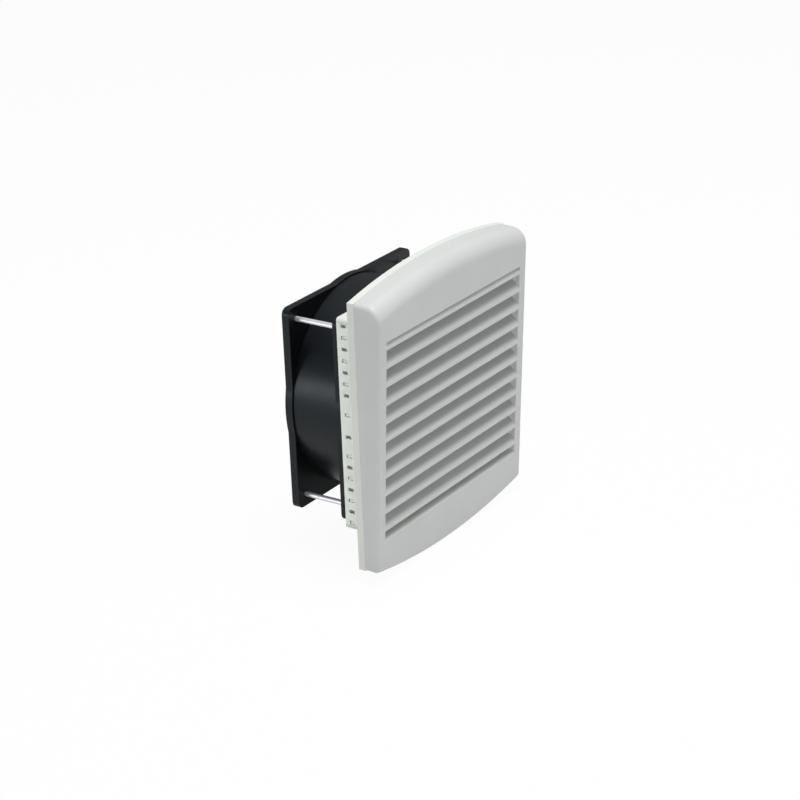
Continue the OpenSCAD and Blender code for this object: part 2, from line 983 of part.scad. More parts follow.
// a coil round each pole
module stator_coils() {
    coil_in = yoke_r + coil_yoke_gap;
    coil_out = slot_r - coil_shoe_gap;
    color([0.70, 0.38, 0.18])
        for (a = [0 : 90 : 270])
            spun(lead_angle + a)
                difference() {
                    block([coil_in, coil_y, -pole_w / 2 - coil_t],
                        [coil_out, coil_rear, pole_w / 2 + coil_t]);
                    block([coil_in - 1, core_y - insulator_t, -pole_w / 2],
                        [coil_out + 1, core_end + insulator_t, pole_w / 2]);
                }
}

// mean line of a blade at radius share q and chord share s: angle, depth, and their growth with s
function blade_wrap(q) = wrap_root + (wrap_tip - wrap_root) * q;
function blade_y0(q) = hub_y + 1.5 + q;
function blade_y1(q) = hub_end - blade_rear - blade_lift * q;
function blade_radius(q) = (hub_r - 1.2) + (tip_r - hub_r + 1.2) * q;
function blade_angle(q, s) = sweep * q + blade_wrap(q) * (s * (1 + camber) - camber * s * s - 0.5);
function blade_depth(q, s) = blade_y0(q) + (blade_y1(q) - blade_y0(q)) * s;
function blade_du(q, s) = blade_radius(q) * blade_wrap(q) * (1 + camber - 2 * camber * s) * PI / 180;
function blade_dy(q) = blade_y1(q) - blade_y0(q);
function blade_half(q, s) = blade_t * (1 - 0.35 * q) * (0.4 + 0.6 * sin(180 * s)) / 2;
// a point on one side of the blade
function blade_point(q, s, side) =
    let (du = blade_du(q, s))
    let (dy = blade_dy(q))
    let (k = side * blade_half(q, s) / norm([du, dy]))
    let (a = blade_angle(q, s) - k * dy * 180 / (PI * blade_radius(q)))
    [blade_radius(q) * cos(a), blade_depth(q, s) + k * du, blade_radius(q) * sin(a)];

module blade() {
    rows = 4;
    steps = 7;
    m = 2 * (steps + 1);
    points = [for (i = [0 : rows], j = [0 : m - 1])
        j <= steps ? blade_point(i / rows, j / steps, 1) : blade_point(i / rows, (m - 1 - j) / steps, -1)];
    sides = [for (i = [0 : rows - 1], j = [0 : m - 1], t = [0, 1])
        let (a = i * m + j)
        let (b = i * m + (j + 1) % m)
        t == 0 ? [b, a, a + m] : [b, a + m, b + m]];
    root = [for (j = [0 : steps - 1], t = [0, 1])
        t == 0 ? [j, j + 1, m - 2 - j] : [j, m - 2 - j, m - 1 - j]];
    tip = [for (f = root) [f[2] + rows * m, f[1] + rows * m, f[0] + rows * m]];
    polyhedron(points, concat(sides, root, tip));
}

module impeller() {
    color([0.09, 0.09, 0.10]) {
        difference() {
            turned() {
                translate([0, hub_y])
                    square([hub_r - 2, hub_end - hub_y]);
                translate([0, hub_y + 2])
                    square([hub_r, hub_end - hub_y - 2]);
                translate([hub_r - 2, hub_y + 2])
                    circle(2);
            }
            bar(hub_y + hub_front, hub_end + 1, hub_in_r + seat);
            bar(hub_y - 1, hub_end, boss_d / 2 + seat);
        }
        for (i = [0 : blade_n - 1])
            spun(i * 360 / blade_n)
                blade();
    }
}

module hub_boss() {
    color([0.80, 0.66, 0.36])
        difference() {
            union() {
                bar(hub_y, boss_end, boss_d / 2);
                bar(hub_y + hub_front, boss_end, boss_d / 2 + 1);
            }
            bar(hub_y - 1, boss_end + 1, shaft_d / 2 + seat);
        }
}

module rotor_core() {
    color([0.42, 0.43, 0.45])
        pipe(core_y - rotor_over, core_end + rotor_over, rotor_in, hub_in_r);
}

module rotor_end_rings() {
    color([0.75, 0.76, 0.78]) {
        pipe(core_y - rotor_over - end_ring_t, core_y - rotor_over, rotor_in + end_ring_in, hub_in_r);
        pipe(core_end + rotor_over, core_end + rotor_over + end_ring_t, rotor_in + end_ring_in, hub_in_r);
    }
}

module shaft() {
    color([0.72, 0.73, 0.75])
        difference() {
            bar(hub_y, shaft_end, shaft_d / 2);
            pipe(ring_y, ring_y + ring_t, shaft_d / 2 - ring_groove, shaft_d);
        }
}

module thrust_washers() {
    color([0.85, 0.82, 0.70]) {
        pipe(boss_end, boss_end + thrust_t, shaft_d / 2 + seat, bush_d / 2 - thrust_in);
        pipe(thrust_y, ring_y, shaft_d / 2 + seat, bush_d / 2 - thrust_in);
    }
}

module retaining_ring() {
    color([0.35, 0.36, 0.38])
        difference() {
            pipe(ring_y, ring_y + ring_t, shaft_d / 2 - ring_groove, ring_d / 2);
            block([0, ring_y - 1, -ring_slot / 2], [ring_d, ring_y + ring_t + 1, ring_slot / 2]);
        }
}

front_cover();
base_frame();
panel_seal();
filter_mat();
finger_guard();
left_snap_strip();
right_snap_strip();
screw_inserts();
fan_front_flange();
fan_barrel();
fan_rear_flange();
motor_base();
fan_screws();
fan_washers();
terminal_block();
terminal_pins();
motor_leads();
motor_cap();
bearing_tube();
front_bush();
rear_bush();
oil_felt();
stator_core();
front_insulator();
rear_insulator();
stator_coils();
impeller();
hub_boss();
rotor_core();
rotor_end_rings();
shaft();
thrust_washers();
retaining_ring();
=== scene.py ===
import math
import bmesh
import bpy
from mathutils import Matrix, Vector, noise


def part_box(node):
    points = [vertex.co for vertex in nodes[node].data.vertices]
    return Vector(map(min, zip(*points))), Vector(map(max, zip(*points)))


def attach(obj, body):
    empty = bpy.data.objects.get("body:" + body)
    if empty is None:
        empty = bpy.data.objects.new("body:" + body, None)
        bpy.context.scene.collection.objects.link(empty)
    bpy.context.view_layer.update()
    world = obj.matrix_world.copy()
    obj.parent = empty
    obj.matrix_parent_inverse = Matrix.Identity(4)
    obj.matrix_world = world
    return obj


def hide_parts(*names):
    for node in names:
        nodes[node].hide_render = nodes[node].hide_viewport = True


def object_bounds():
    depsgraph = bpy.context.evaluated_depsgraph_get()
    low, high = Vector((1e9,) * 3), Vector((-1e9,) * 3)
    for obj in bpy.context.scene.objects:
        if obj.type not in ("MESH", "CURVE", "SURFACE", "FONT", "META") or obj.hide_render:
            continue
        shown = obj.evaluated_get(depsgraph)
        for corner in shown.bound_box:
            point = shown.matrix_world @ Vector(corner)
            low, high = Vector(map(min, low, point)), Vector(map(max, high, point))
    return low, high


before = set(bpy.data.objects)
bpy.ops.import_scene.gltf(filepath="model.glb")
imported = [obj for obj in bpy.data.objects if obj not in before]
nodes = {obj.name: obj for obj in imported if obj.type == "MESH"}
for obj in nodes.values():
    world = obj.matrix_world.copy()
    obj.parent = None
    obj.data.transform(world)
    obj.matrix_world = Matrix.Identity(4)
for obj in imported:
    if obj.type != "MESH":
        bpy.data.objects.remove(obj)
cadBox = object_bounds()
mm = 0.001
print("frame loaded:", len(nodes), "solids")


# node trees: a wire is one output socket, and sums of wires and numbers become Math nodes
def feed(entry, value):
    if isinstance(value, Wire):
        entry.id_data.links.new(value.socket, entry)
    elif isinstance(value, tuple) and entry.type == "RGBA":
        entry.default_value = (*value, 1)
    else:
        entry.default_value = value


class Wire:
    def __init__(self, socket):
        self.socket = socket

    def sum(self, operation, first, second):
        made = self.socket.id_data.nodes.new("ShaderNodeMath")
        made.operation = operation
        feed(made.inputs[0], first)
        feed(made.inputs[1], second)
        return Wire(made.outputs[0])

    def __add__(self, other):
        return self.sum("ADD", self, other)

    def __radd__(self, other):
        return self.sum("ADD", other, self)

    def __sub__(self, other):
        return self.sum("SUBTRACT", self, other)

    def __rsub__(self, other):
        return self.sum("SUBTRACT", other, self)

    def __mul__(self, other):
        return self.sum("MULTIPLY", self, other)

    def __truediv__(self, other):
        return self.sum("DIVIDE", self, other)

    def __pow__(self, other):
        return self.sum("POWER", self, other)


class Sketch:
    def __init__(self, tree):
        self.tree = tree

    def node(self, kind, settings=None, sockets=None, output=0):
        made = self.tree.nodes.new(kind)
        for key, value in (settings or {}).items():
            setattr(made, key, value)
        for key, value in (sockets or {}).items():
            feed(made.inputs[key], value)
        return Wire(made.outputs[output]) if made.outputs else None


class Finish(Sketch):  # one material; pattern sizes are in metres on Object coordinates
    def __init__(self, name):
        self.material = bpy.data.materials.new(name)
        self.material.use_nodes = True
        super().__init__(self.material.node_tree)
        self.tree.nodes.clear()
        self.spot = self.node("ShaderNodeTexCoord", output="Object")

    def part(self, vector, axis):
        return self.node("ShaderNodeSeparateXYZ", None, {0: vector}, axis)

    def facing(self, axis):  # how far the surface faces along an axis of the object
        return self.part(self.node("ShaderNodeTexCoord", output="Normal"), axis)

    def noise(self, size, detail, stretch=None, spot=None):
        spot = spot or self.spot
        if stretch:
            spot = self.node("ShaderNodeMapping", None, {"Vector": spot, "Scale": stretch})
        return self.node("ShaderNodeTexNoise", None, {"Vector": spot, "Scale": 1 / size, "Detail": detail})

    def cells(self, size):
        return self.node("ShaderNodeTexVoronoi", None, {"Vector": self.spot, "Scale": 1 / size}, "Distance")

    def band(self, value, low, high):  # 0 under low, 1 over high
        sockets = {"Value": value, "From Min": low, "From Max": high}
        return self.node("ShaderNodeMapRange", {"interpolation_type": "SMOOTHSTEP"}, sockets)

    def upward(self):  # 1 on what faces up, 0 on the sides
        return self.band(self.facing(2), 0.3, 1.0)

    def wave(self, value, length):  # between 0 and 1
        turn = value * (2 * math.pi / length)
        return self.node("ShaderNodeMath", {"operation": "SINE"}, {0: turn}) * 0.5 + 0.5

    def radius(self):  # distance from the fan's axis
        x = self.part(self.spot, 0)
        z = self.part(self.spot, 2)
        return (x * x + z * z) ** 0.5

    def mix(self, share, first, second):
        return self.node("ShaderNodeMix", {"data_type": "RGBA"}, {0: share, 6: first, 7: second}, 2)

    def close(self, colour, rough, relief, depth, others=None):
        bump = self.node("ShaderNodeBump", None, {"Height": relief, "Distance": depth})
        sockets = {"Base Color": colour, "Roughness": rough, "Normal": bump, **(others or {})}
        shader = self.node("ShaderNodeBsdfPrincipled", None, sockets)
        self.node("ShaderNodeOutputMaterial", None, {"Surface": shader})
        return self.material


class Growth(Sketch):  # one Geometry Nodes tree with named inputs
    def __init__(self, name, inputs):
        super().__init__(bpy.data.node_groups.new(name, "GeometryNodeTree"))
        for label, kind in {**inputs, "Finish": "Material"}.items():
            self.tree.interface.new_socket(label, in_out="INPUT", socket_type="NodeSocket" + kind)
        self.tree.interface.new_socket("Geometry", in_out="OUTPUT", socket_type="NodeSocketGeometry")
        self.entry = self.tree.nodes.new("NodeGroupInput")

    def take(self, label):
        return Wire(self.entry.outputs[label])

    def shapeOf(self, label):
        return self.node("GeometryNodeObjectInfo", None, {"Object": self.take(label)}, "Geometry")

    def close(self, points, pattern, turn=None):  # the pattern object on every point
        sockets = {"Points": points, "Instance": self.shapeOf(pattern)}
        if turn:
            sockets["Rotation"] = turn
        whole = self.node("GeometryNodeInstanceOnPoints", None, sockets)
        whole = self.node("GeometryNodeRealizeInstances", None, {"Geometry": whole})
        sockets = {"Geometry": whole, "Material": self.take("Finish")}
        whole = self.node("GeometryNodeSetMaterial", None, sockets)
        self.node("NodeGroupOutput", None, {"Geometry": whole})

    def grow(self, values):
        host = addObject("growthHost", bpy.data.meshes.new("growthHost"))
        modifier = host.modifiers.new("growth", "NODES")
        modifier.node_group = self.tree
        for item in self.tree.interface.items_tree:
            if item.in_out == "INPUT":
                modifier[item.identifier] = values[item.name]
        return plainMesh(host)


# materials
def tone(red, green, blue):  # a screen colour as the linear one that a shader takes
    shares = [c / 255 for c in (red, green, blue)]
    return tuple(((s + 0.055) / 1.055) ** 2.4 if s > 0.04045 else s / 12.92 for s in shares)


def shaded(colour, factor):
    return tuple(c * factor for c in colour)


dustTone = tone(176, 170, 158)
wornTone = tone(104, 106, 110)


def mouldedPlastic(name, look):  # eroded grain from the mould, faint flow clouds, dust on what faces up, and, where asked, painted shade that deepens behind the face
    finish = Finish(name)
    grain = finish.noise(look["grain"], detail=3)
    cloud = finish.noise(30 * mm, detail=3)
    rub = finish.band(finish.noise(4 * mm, detail=5, stretch=(1, 1, 0.3)), 0.58, 0.75)
    dust = finish.upward() * finish.band(finish.noise(2 * mm, detail=5), 0.4, 0.7)
    colour = finish.mix(cloud, shaded(look["tone"], 0.95), shaded(look["tone"], 1.05))
    colour = finish.mix(dust * look["dust"], colour, dustTone)
    paintedShade = look.get("paintedShade")
    if paintedShade:  # painted shade in the louvre channels, darker with depth behind the face
        depth = finish.part(finish.spot, 1) * paintedShade["lean"][0] + finish.part(finish.spot, 2) * paintedShade["lean"][1]
        shadeMask = finish.band(depth, paintedShade["start"], paintedShade["full"]) * (0.8 + cloud * 0.4)
        colour = finish.mix(shadeMask * paintedShade["share"], colour, paintedShade["tone"])
    rough = look["rough"] + (grain - 0.5) * 0.12 + rub * 0.06 + dust * 0.1
    return finish.close(colour, rough, grain, look["relief"])


def castCoat(name, look):  # coated casting: fine pebble, worn to a duller grey in specks
    finish = Finish(name)
    pebble = finish.noise(look["pebble"], detail=2)
    cloud = finish.noise(15 * mm, detail=3)
    wear = finish.band(finish.noise(1.8 * mm, detail=6), 0.64, 0.72)
    colour = finish.mix(cloud, shaded(look["tone"], 0.8), shaded(look["tone"], 1.25))
    colour = finish.mix(wear * look["wear"], colour, wornTone)
    rough = look["rough"] + (pebble - 0.5) * 0.16 + cloud * 0.08 + finish.upward() * 0.3
    shine = {"Specular IOR Level": look["gloss"], "Specular Tint": look["tint"]}
    return finish.close(colour, rough, pebble, look["relief"], shine)


def platedSteel(name, look):  # bright plate with drawn lines along the axis
    finish = Finish(name)
    drawn = finish.noise(0.2 * mm, detail=3, stretch=look["drawn"])
    cloud = finish.noise(3 * mm, detail=4)
    colour = finish.mix(cloud, shaded(look["tone"], 0.86), look["tone"])
    rough = look["rough"] + drawn * 0.14 + cloud * 0.08
    return finish.close(colour, rough, drawn, look["relief"], {"Metallic": look.get("metal", 1.0)})


def turnedMetal(name, look):  # tool rings round the Y axis, tarnish in clouds
    finish = Finish(name)
    rings = finish.noise(0.25 * mm, detail=2, stretch=(0.02, 1, 0.02))
    tarnish = finish.band(finish.noise(2.5 * mm, detail=5), 0.45, 0.75)
    colour = finish.mix(tarnish * look["tarnish"], look["tone"], look["dull"])
    rough = look["rough"] + rings * 0.15 + tarnish * 0.12
    return finish.close(colour, rough, rings, look["relief"], {"Metallic": 1.0})


def spunAluminium():  # rings round the axis, as a spun disc has
    finish = Finish("spunAluminium")
    reach = finish.node("ShaderNodeCombineXYZ", None, {0: finish.radius()})
    rings = finish.noise(0.3 * mm, detail=3, spot=reach)
    cloud = finish.noise(8 * mm, detail=4)
    colour = finish.mix(cloud, (0.50, 0.51, 0.52), (0.64, 0.65, 0.66))
    rough = 0.26 + rings * 0.2 + cloud * 0.08
    return finish.close(colour, rough, rings, 0.02 * mm, {"Metallic": 1.0})


def cellFoam():
    finish = Finish("sealFoam")
    pores = finish.cells(0.7 * mm)
    cloud = finish.noise(10 * mm, detail=3)
    colour = finish.mix(finish.band(pores, 0.1, 0.6), tone(20, 20, 21), tone(52, 52, 53))
    return finish.close(colour, 0.86 + cloud * 0.1, pores, 0.25 * mm)


def fibreFleece():
    finish = Finish("filterFibre")
    upright = finish.noise(0.6 * mm, detail=6, stretch=(1, 1, 0.25))
    level = finish.noise(0.6 * mm, detail=6, stretch=(0.25, 1, 1))
    strand = upright * 0.5 + level * 0.5
    cloud = finish.noise(9 * mm, detail=4)
    inlet = finish.band(finish.facing(1) * -1.0, 0.2, 0.9)
    soot = finish.band(finish.noise(4 * mm, detail=5), 0.5, 0.8) * inlet
    colour = finish.mix(strand, tone(206, 206, 198), tone(246, 246, 241))
    colour = finish.mix(cloud * 0.3, colour, tone(226, 224, 212))
    colour = finish.mix(soot * 0.35, colour, tone(150, 146, 138))
    return finish.close(colour, 0.82 + cloud * 0.12, strand, 0.6 * mm, {"Sheen Weight": 0.3})


def oiledFelt():
    finish = Finish("oiledFelt")
    hair = finish.noise(0.4 * mm, detail=6, stretch=(1, 0.3, 1))
    stain = finish.band(finish.noise(2 * mm, detail=4), 0.4, 0.7)
    colour = finish.mix(hair, tone(164, 152, 124), tone(206, 196, 168))
    colour = finish.mix(stain * 0.6, colour, tone(118, 98, 62))
    return finish.close(colour, 0.9 - stain * 0.3, hair, 0.3 * mm)


def stackedSteel():  # edges of the laminations along Y
    finish = Finish("stackedSteel")
    sheets = finish.wave(finish.part(finish.spot, 1), 0.5 * mm)
    rust = finish.band(finish.noise(2 * mm, detail=5), 0.6, 0.8)
    colour = finish.mix(sheets, (0.16, 0.165, 0.175), (0.42, 0.43, 0.45))
    colour = finish.mix(rust * 0.35, colour, (0.20, 0.12, 0.07))
    return finish.close(colour, 0.42 + rust * 0.3, sheets, 0.06 * mm, {"Metallic": 1.0 - rust * 0.5})


def copperTurns():  # wire lies side by side along each pole, and the poles stand on the diagonals
    finish = Finish("copperTurns")
    x = finish.node("ShaderNodeMath", {"operation": "ABSOLUTE"}, {0: finish.part(finish.spot, 0)})
    z = finish.node("ShaderNodeMath", {"operation": "ABSOLUTE"}, {0: finish.part(finish.spot, 2)})
    sway = finish.noise(4 * mm, detail=2) * (0.4 * mm)
    turns = finish.wave((x + z) * math.sqrt(0.5) + sway, 0.34 * mm)
    cloud = finish.noise(3 * mm, detail=4)
    colour = finish.mix(turns, (0.26, 0.075, 0.02), (0.66, 0.25, 0.085))
    colour = finish.mix(cloud * 0.4, colour, (0.45, 0.13, 0.035))
    lacquer = {"Metallic": 0.85, "Coat Weight": 0.4}
    return finish.close(colour, 0.24 + cloud * 0.16, turns, 0.12 * mm, lacquer)


def wireSheath():
    finish = Finish("wireSheath")
    drawn = finish.noise(0.8 * mm, detail=3)
    cloud = finish.noise(6 * mm, detail=3)
    colour = finish.mix(cloud, tone(96, 20, 16), tone(132, 34, 26))
    return finish.close(colour, 0.3 + drawn * 0.16, drawn, 0.02 * mm)


coverFinish = mouldedPlastic("coverGrey", {
    "tone": tone(203, 206, 204), "grain": 0.4 * mm, "rough": 0.44, "relief": 0.012 * mm, "dust": 0.06})
frameFinish = mouldedPlastic("frameGrey", {
    "tone": tone(222, 226, 220), "grain": 0.5 * mm, "rough": 0.40, "relief": 0.01 * mm, "dust": 0.05})
guardFinish = mouldedPlastic("guardGrey", {
    "tone": tone(198, 201, 199), "grain": 0.5 * mm, "rough": 0.46, "relief": 0.012 * mm, "dust": 0.25})
stripFinish = mouldedPlastic("stripWhite", {
    "tone": tone(246, 251, 244), "grain": 0.6 * mm, "rough": 0.36, "relief": 0.008 * mm, "dust": 0.05})
blockFinish = mouldedPlastic("blockBlack", {
    "tone": tone(42, 42, 44), "grain": 0.4 * mm, "rough": 0.5, "relief": 0.012 * mm, "dust": 0.12})
bladeFinish = mouldedPlastic("impellerBlack", {
    "tone": tone(34, 34, 37), "grain": 0.5 * mm, "rough": 0.44, "relief": 0.012 * mm, "dust": 0.2})
creamFinish = mouldedPlastic("insulatorCream", {
    "tone": tone(222, 214, 186), "grain": 0.4 * mm, "rough": 0.42, "relief": 0.01 * mm, "dust": 0.1})
nylonFinish = mouldedPlastic("washerNylon", {
    "tone": tone(226, 221, 202), "grain": 0.3 * mm, "rough": 0.3, "relief": 0.006 * mm, "dust": 0.05})
fanFinish = castCoat("fanBlack", {
    "tone": tone(11, 13, 16), "pebble": 0.6 * mm, "rough": 0.3, "relief": 0.01 * mm, "wear": 0.02,
    "gloss": 0.28, "tint": (0.8, 0.93, 1.0)})
springFinish = castCoat("springSteel", {
    "tone": tone(62, 63, 66), "pebble": 0.3 * mm, "rough": 0.42, "relief": 0.008 * mm, "wear": 0.3,
    "gloss": 0.5, "tint": (1.0, 1.0, 1.0)})
zincFinish = platedSteel("zincSteel", {
    "tone": (0.86, 0.88, 0.93), "drawn": (1, 0.05, 1), "rough": 0.26, "relief": 0.006 * mm, "metal": 0.7})
shaftFinish = platedSteel("shaftSteel", {
    "tone": (0.62, 0.63, 0.65), "drawn": (0.05, 1, 0.05), "rough": 0.12, "relief": 0.003 * mm})
cageFinish = platedSteel("cageAluminium", {
    "tone": (0.70, 0.71, 0.73), "drawn": (1, 1, 1), "rough": 0.38, "relief": 0.03 * mm})
tabFinish = platedSteel("tabBrass", {
    "tone": (0.78, 0.64, 0.36), "drawn": (1, 0.05, 1), "rough": 0.22, "relief": 0.006 * mm})
brassFinish = turnedMetal("turnedBrass", {
    "tone": (0.74, 0.54, 0.23), "dull": (0.38, 0.25, 0.10), "tarnish": 0.5, "rough": 0.2,
    "relief": 0.01 * mm})
bronzeFinish = turnedMetal("sinteredBronze", {
    "tone": (0.46, 0.29, 0.13), "dull": (0.18, 0.10, 0.05), "tarnish": 0.9, "rough": 0.38,
    "relief": 0.02 * mm})
capFinish = spunAluminium()
foamFinish = cellFoam()
fleeceFinish = fibreFleece()
feltFinish = oiledFelt()
stackFinish = stackedSteel()
copperFinish = copperTurns()
leadFinish = wireSheath()
print("materials made:", len(bpy.data.materials))


# mesh helpers; angles in degrees
creaseAngle = 32
roundSteps = 2
joins = {"loose": 0.002 * mm, "welded": 0.004 * mm, "turned": 0.001 * mm, "thin": 0.01 * mm, "flat": 0.6}
copyRounds = {"base_frame": 0.4 * mm, "panel_seal": 0.25 * mm, "finger_guard": 0.3 * mm,
              "fan_washers": 0.12 * mm, "terminal_block": 0.3 * mm, "terminal_pins": 0.1 * mm}


def addObject(name, data):
    made = bpy.data.objects.new(name, data)
    bpy.context.collection.objects.link(made)
    return made


def plainMesh(host):  # the evaluated shape of an object that isn't needed afterwards
    bpy.context.view_layer.update()
    mesh = bpy.data.meshes.new_from_object(host.evaluated_get(bpy.context.evaluated_depsgraph_get()))
    bpy.data.objects.remove(host)
    return mesh


def meshOf(shape, name):
    mesh = bpy.data.meshes.new(name)
    shape.to_mesh(mesh)
    shape.free()
    return mesh


def patternOf(name, shape):  # a plain object, for copies and cuts or for the stage
    return addObject(name, meshOf(shape, name))


def outward(shape):
    bmesh.ops.recalc_face_normals(shape, faces=shape.faces)


def bridge(shape, first, second):
    for i in range(len(first)):
        j = (i + 1) % len(first)
        shape.faces.new((first[i], first[j], second[j], second[i]))


def tube(shape, rings):  # a skin over a row of rings, closed at both ends
    for here, there in zip(rings, rings[1:]):
        bridge(shape, here, there)
    shape.faces.new(rings[0])
    shape.faces.new(rings[-1])
    outward(shape)


def dress(name, form, finish, body, replaced, crease=creaseAngle):  # form: a mesh or a bmesh
    mesh = meshOf(form, name) if isinstance(form, bmesh.types.BMesh) else form
    mesh.materials.clear()
    mesh.materials.append(finish)
    mesh.shade_smooth()
    mesh.set_sharp_from_angle(angle=math.radians(crease))
    piece = addObject(name, mesh)
    even = piece.modifiers.new("evenShading", "WEIGHTED_NORMAL")
    even.keep_sharp = True
    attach(piece, body)
    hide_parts(*replaced)
    return piece


def combine(host, other, operation):  # an exact boolean with another object
    made = host.modifiers.new("combine", "BOOLEAN")
    made.operation = operation
    made.solver = "EXACT"
    made.object = other
    return made


def mergedShape(nodeName):  # a CAD solid with its loose triangles joined
    shape = bmesh.new()
    shape.from_mesh(nodes[nodeName].data)
    bmesh.ops.remove_doubles(shape, verts=shape.verts, dist=joins["loose"])
    return shape


def joinFlats(shape):
    flat = math.radians(joins["flat"])
    bmesh.ops.dissolve_limit(shape, angle_limit=flat, verts=shape.verts, edges=shape.edges)
    bmesh.ops.dissolve_degenerate(shape, edges=shape.edges, dist=joins["thin"])


def soften(shape, width):  # small round on every sharp edge
    crease = math.radians(creaseAngle)
    sharp = [e for e in shape.edges if len(e.link_faces) == 2 and e.calc_face_angle() > crease]
    bmesh.ops.bevel(shape, geom=sharp, offset=width, segments=roundSteps, profile=0.5, affect="EDGES",
                    clamp_overlap=True, miter_outer="ARC")
    bmesh.ops.triangulate(shape, faces=[f for f in shape.faces if len(f.verts) > 4])


def softCopy(nodeName, pieceName, finish, joined=True):  # a CAD solid with moulded rounds
    shape = mergedShape(nodeName)
    if joined:
        joinFlats(shape)
    soften(shape, copyRounds[nodeName])
    dress(pieceName, shape, finish, "base", [nodeName])


def turnedShape(outline, steps):  # an outline of radius and depth, turned round the Y axis
    shape = bmesh.new()
    rings = []
    last = len(outline) if outline[0][0] else len(outline) - 1  # closed, unless it ends on the axis
    for k in range(steps):
        turn = 2 * math.pi * k / steps
        rings.append([shape.verts.new((r * math.cos(turn), y, r * math.sin(turn))) for r, y in outline])
    for k in range(steps):
        here, there = rings[k], rings[(k + 1) % steps]
        for i in range(last):
            j = (i + 1) % len(outline)
            shape.faces.new((here[i], here[j], there[j], there[i]))
    bmesh.ops.remove_doubles(shape, verts=shape.verts, dist=joins["turned"])
    bmesh.ops.dissolve_degenerate(shape, edges=shape.edges, dist=joins["turned"])
    outward(shape)
    return shape


def arc(centre, radius, start, end, steps):  # points on an arc, angles in degrees
    turns = [math.radians(start + (end - start) * k / steps) for k in range(steps + 1)]
    return [(centre[0] + radius * math.cos(a), centre[1] + radius * math.sin(a)) for a in turns]


def prism(shape, x0, x1, outline):  # an outline of depth and height, drawn out along X
    ends = [[shape.verts.new((x, y, z)) for y, z in outline] for x in (x0, x1)]
    shape.faces.new(ends[0])
    shape.faces.new(ends[1][::-1])
    for i in range(len(outline)):
        j = (i + 1) % len(outline)
        shape.faces.new((ends[0][j], ends[0][i], ends[1][i], ends[1][j]))


# front cover
cover = {"width": 150 * mm, "sideHeight": 155 * mm, "bow": 7.5 * mm, "depthLow": 8.2 * mm,
         "depthHigh": 16.5 * mm, "flange": 4.2 * mm, "rimGap": 0.05 * mm, "roll": 9 * mm,
         "foot": 2.5 * mm, "edge": 2.3 * mm, "wall": 2 * mm}
louvre = {"width": 135 * mm, "slats": 11, "pitch": 10.67 * mm, "margin": 3.5 * mm, "middle": -0.5 * mm,
          "lip": 0.5 * mm, "collar": 1.6 * mm, "collarDepth": 7 * mm, "chamfer": 0.3 * mm,
          "endRound": (3.4 * mm, 4.2 * mm), "footDrop": 2.9 * mm, "footRise": 2.2 * mm,
          "footDepth": 4 * mm, "nose": 1.9 * mm, "noseWrap": 260, "noseSteps": 18, "run": 6.5 * mm,
          "rise": 9.5 * mm, "thickness": 2 * mm, "sink": 0.4 * mm}
ribs = {"thickness": 2 * mm, "inner": 20 * mm, "outer": 57.85 * mm, "start": 5.3 * mm,
        "innerReach": -1.1 * mm, "round": 0.25 * mm, "tongueHeight": 35 * mm, "tongueWidth": 12 * mm,
        "tongueReach": 4 * mm, "tongueRoot": 2 * mm, "tongueShare": 0.98}
rowSteps = {"foot": 5, "below": 8, "recess": 12, "above": 8, "roll": 14, "top": 3}  # up a column of the cover
columnSteps = {"edge": 6, "margin": 2, "recess": 30}  # across the cover
recessSteps = 4  # round its lip, and again round its ends

coverMiddle = (cover["depthLow"] + cover["depthHigh"]) / 2
coverTilt = math.atan((cover["depthHigh"] - cover["depthLow"]) / cover["sideHeight"])
leaning = Matrix.Translation((0, -cover["flange"] - coverMiddle, 0)) @ Matrix.Rotation(coverTilt, 4, "X")
bowRadius = (cover["width"] ** 2 / 4 + cover["bow"] ** 2) / (2 * cover["bow"])
coverReach = (cover["sideHeight"] / 2 + cover["bow"]) * math.cos(coverTilt)
coverTop = coverReach - coverMiddle * math.sin(coverTilt)
coverFoot = -coverReach - coverMiddle * math.sin(coverTilt)
recessHalf = ((louvre["slats"] - 1) * louvre["pitch"]) / 2 + louvre["margin"]
sillRow = 2 + rowSteps["foot"] + rowSteps["below"]  # where the recess starts in a column, and where it ends
lintelRow = sillRow + rowSteps["recess"]


def rimDepth(z):  # where the rim plane lies behind the leaning face at a height
    return (coverMiddle - cover["rimGap"] + z * math.sin(coverTilt)) / math.cos(coverTilt)


def span(first, last, steps):  # even steps after the first value
    return [first + (last - first) * (k + 1) / steps for k in range(steps)]


def coverColumn(x, inset, recess):  # depth and height from the bottom rim, over the front, to the top rim
    drop = bowRadius - math.sqrt(bowRadius ** 2 - x ** 2)
    low = coverFoot + inset + drop
    high = coverTop - inset - drop
    foot = cover["foot"] - inset
    roll = cover["roll"] - inset
    sill = louvre["middle"] - recess - louvre["footDrop"]
    lintel = louvre["middle"] + recess
    points = [(rimDepth(low), low), ((rimDepth(low) + cover["foot"]) / 2, low)]
    points += arc((cover["foot"], low + foot), foot, 270, 180, rowSteps["foot"])
    points += [(inset, z) for z in span(low + foot, sill, rowSteps["below"])]
    points += [(inset, z) for z in span(sill, lintel, rowSteps["recess"])]
    points += [(inset, z) for z in span(lintel, high - roll, rowSteps["above"])]
    points += arc((cover["roll"], high - roll), roll, 180, 90, rowSteps["roll"])[1:]
    points += [(y, high) for y in span(cover["roll"], rimDepth(high), rowSteps["top"])]
    return points


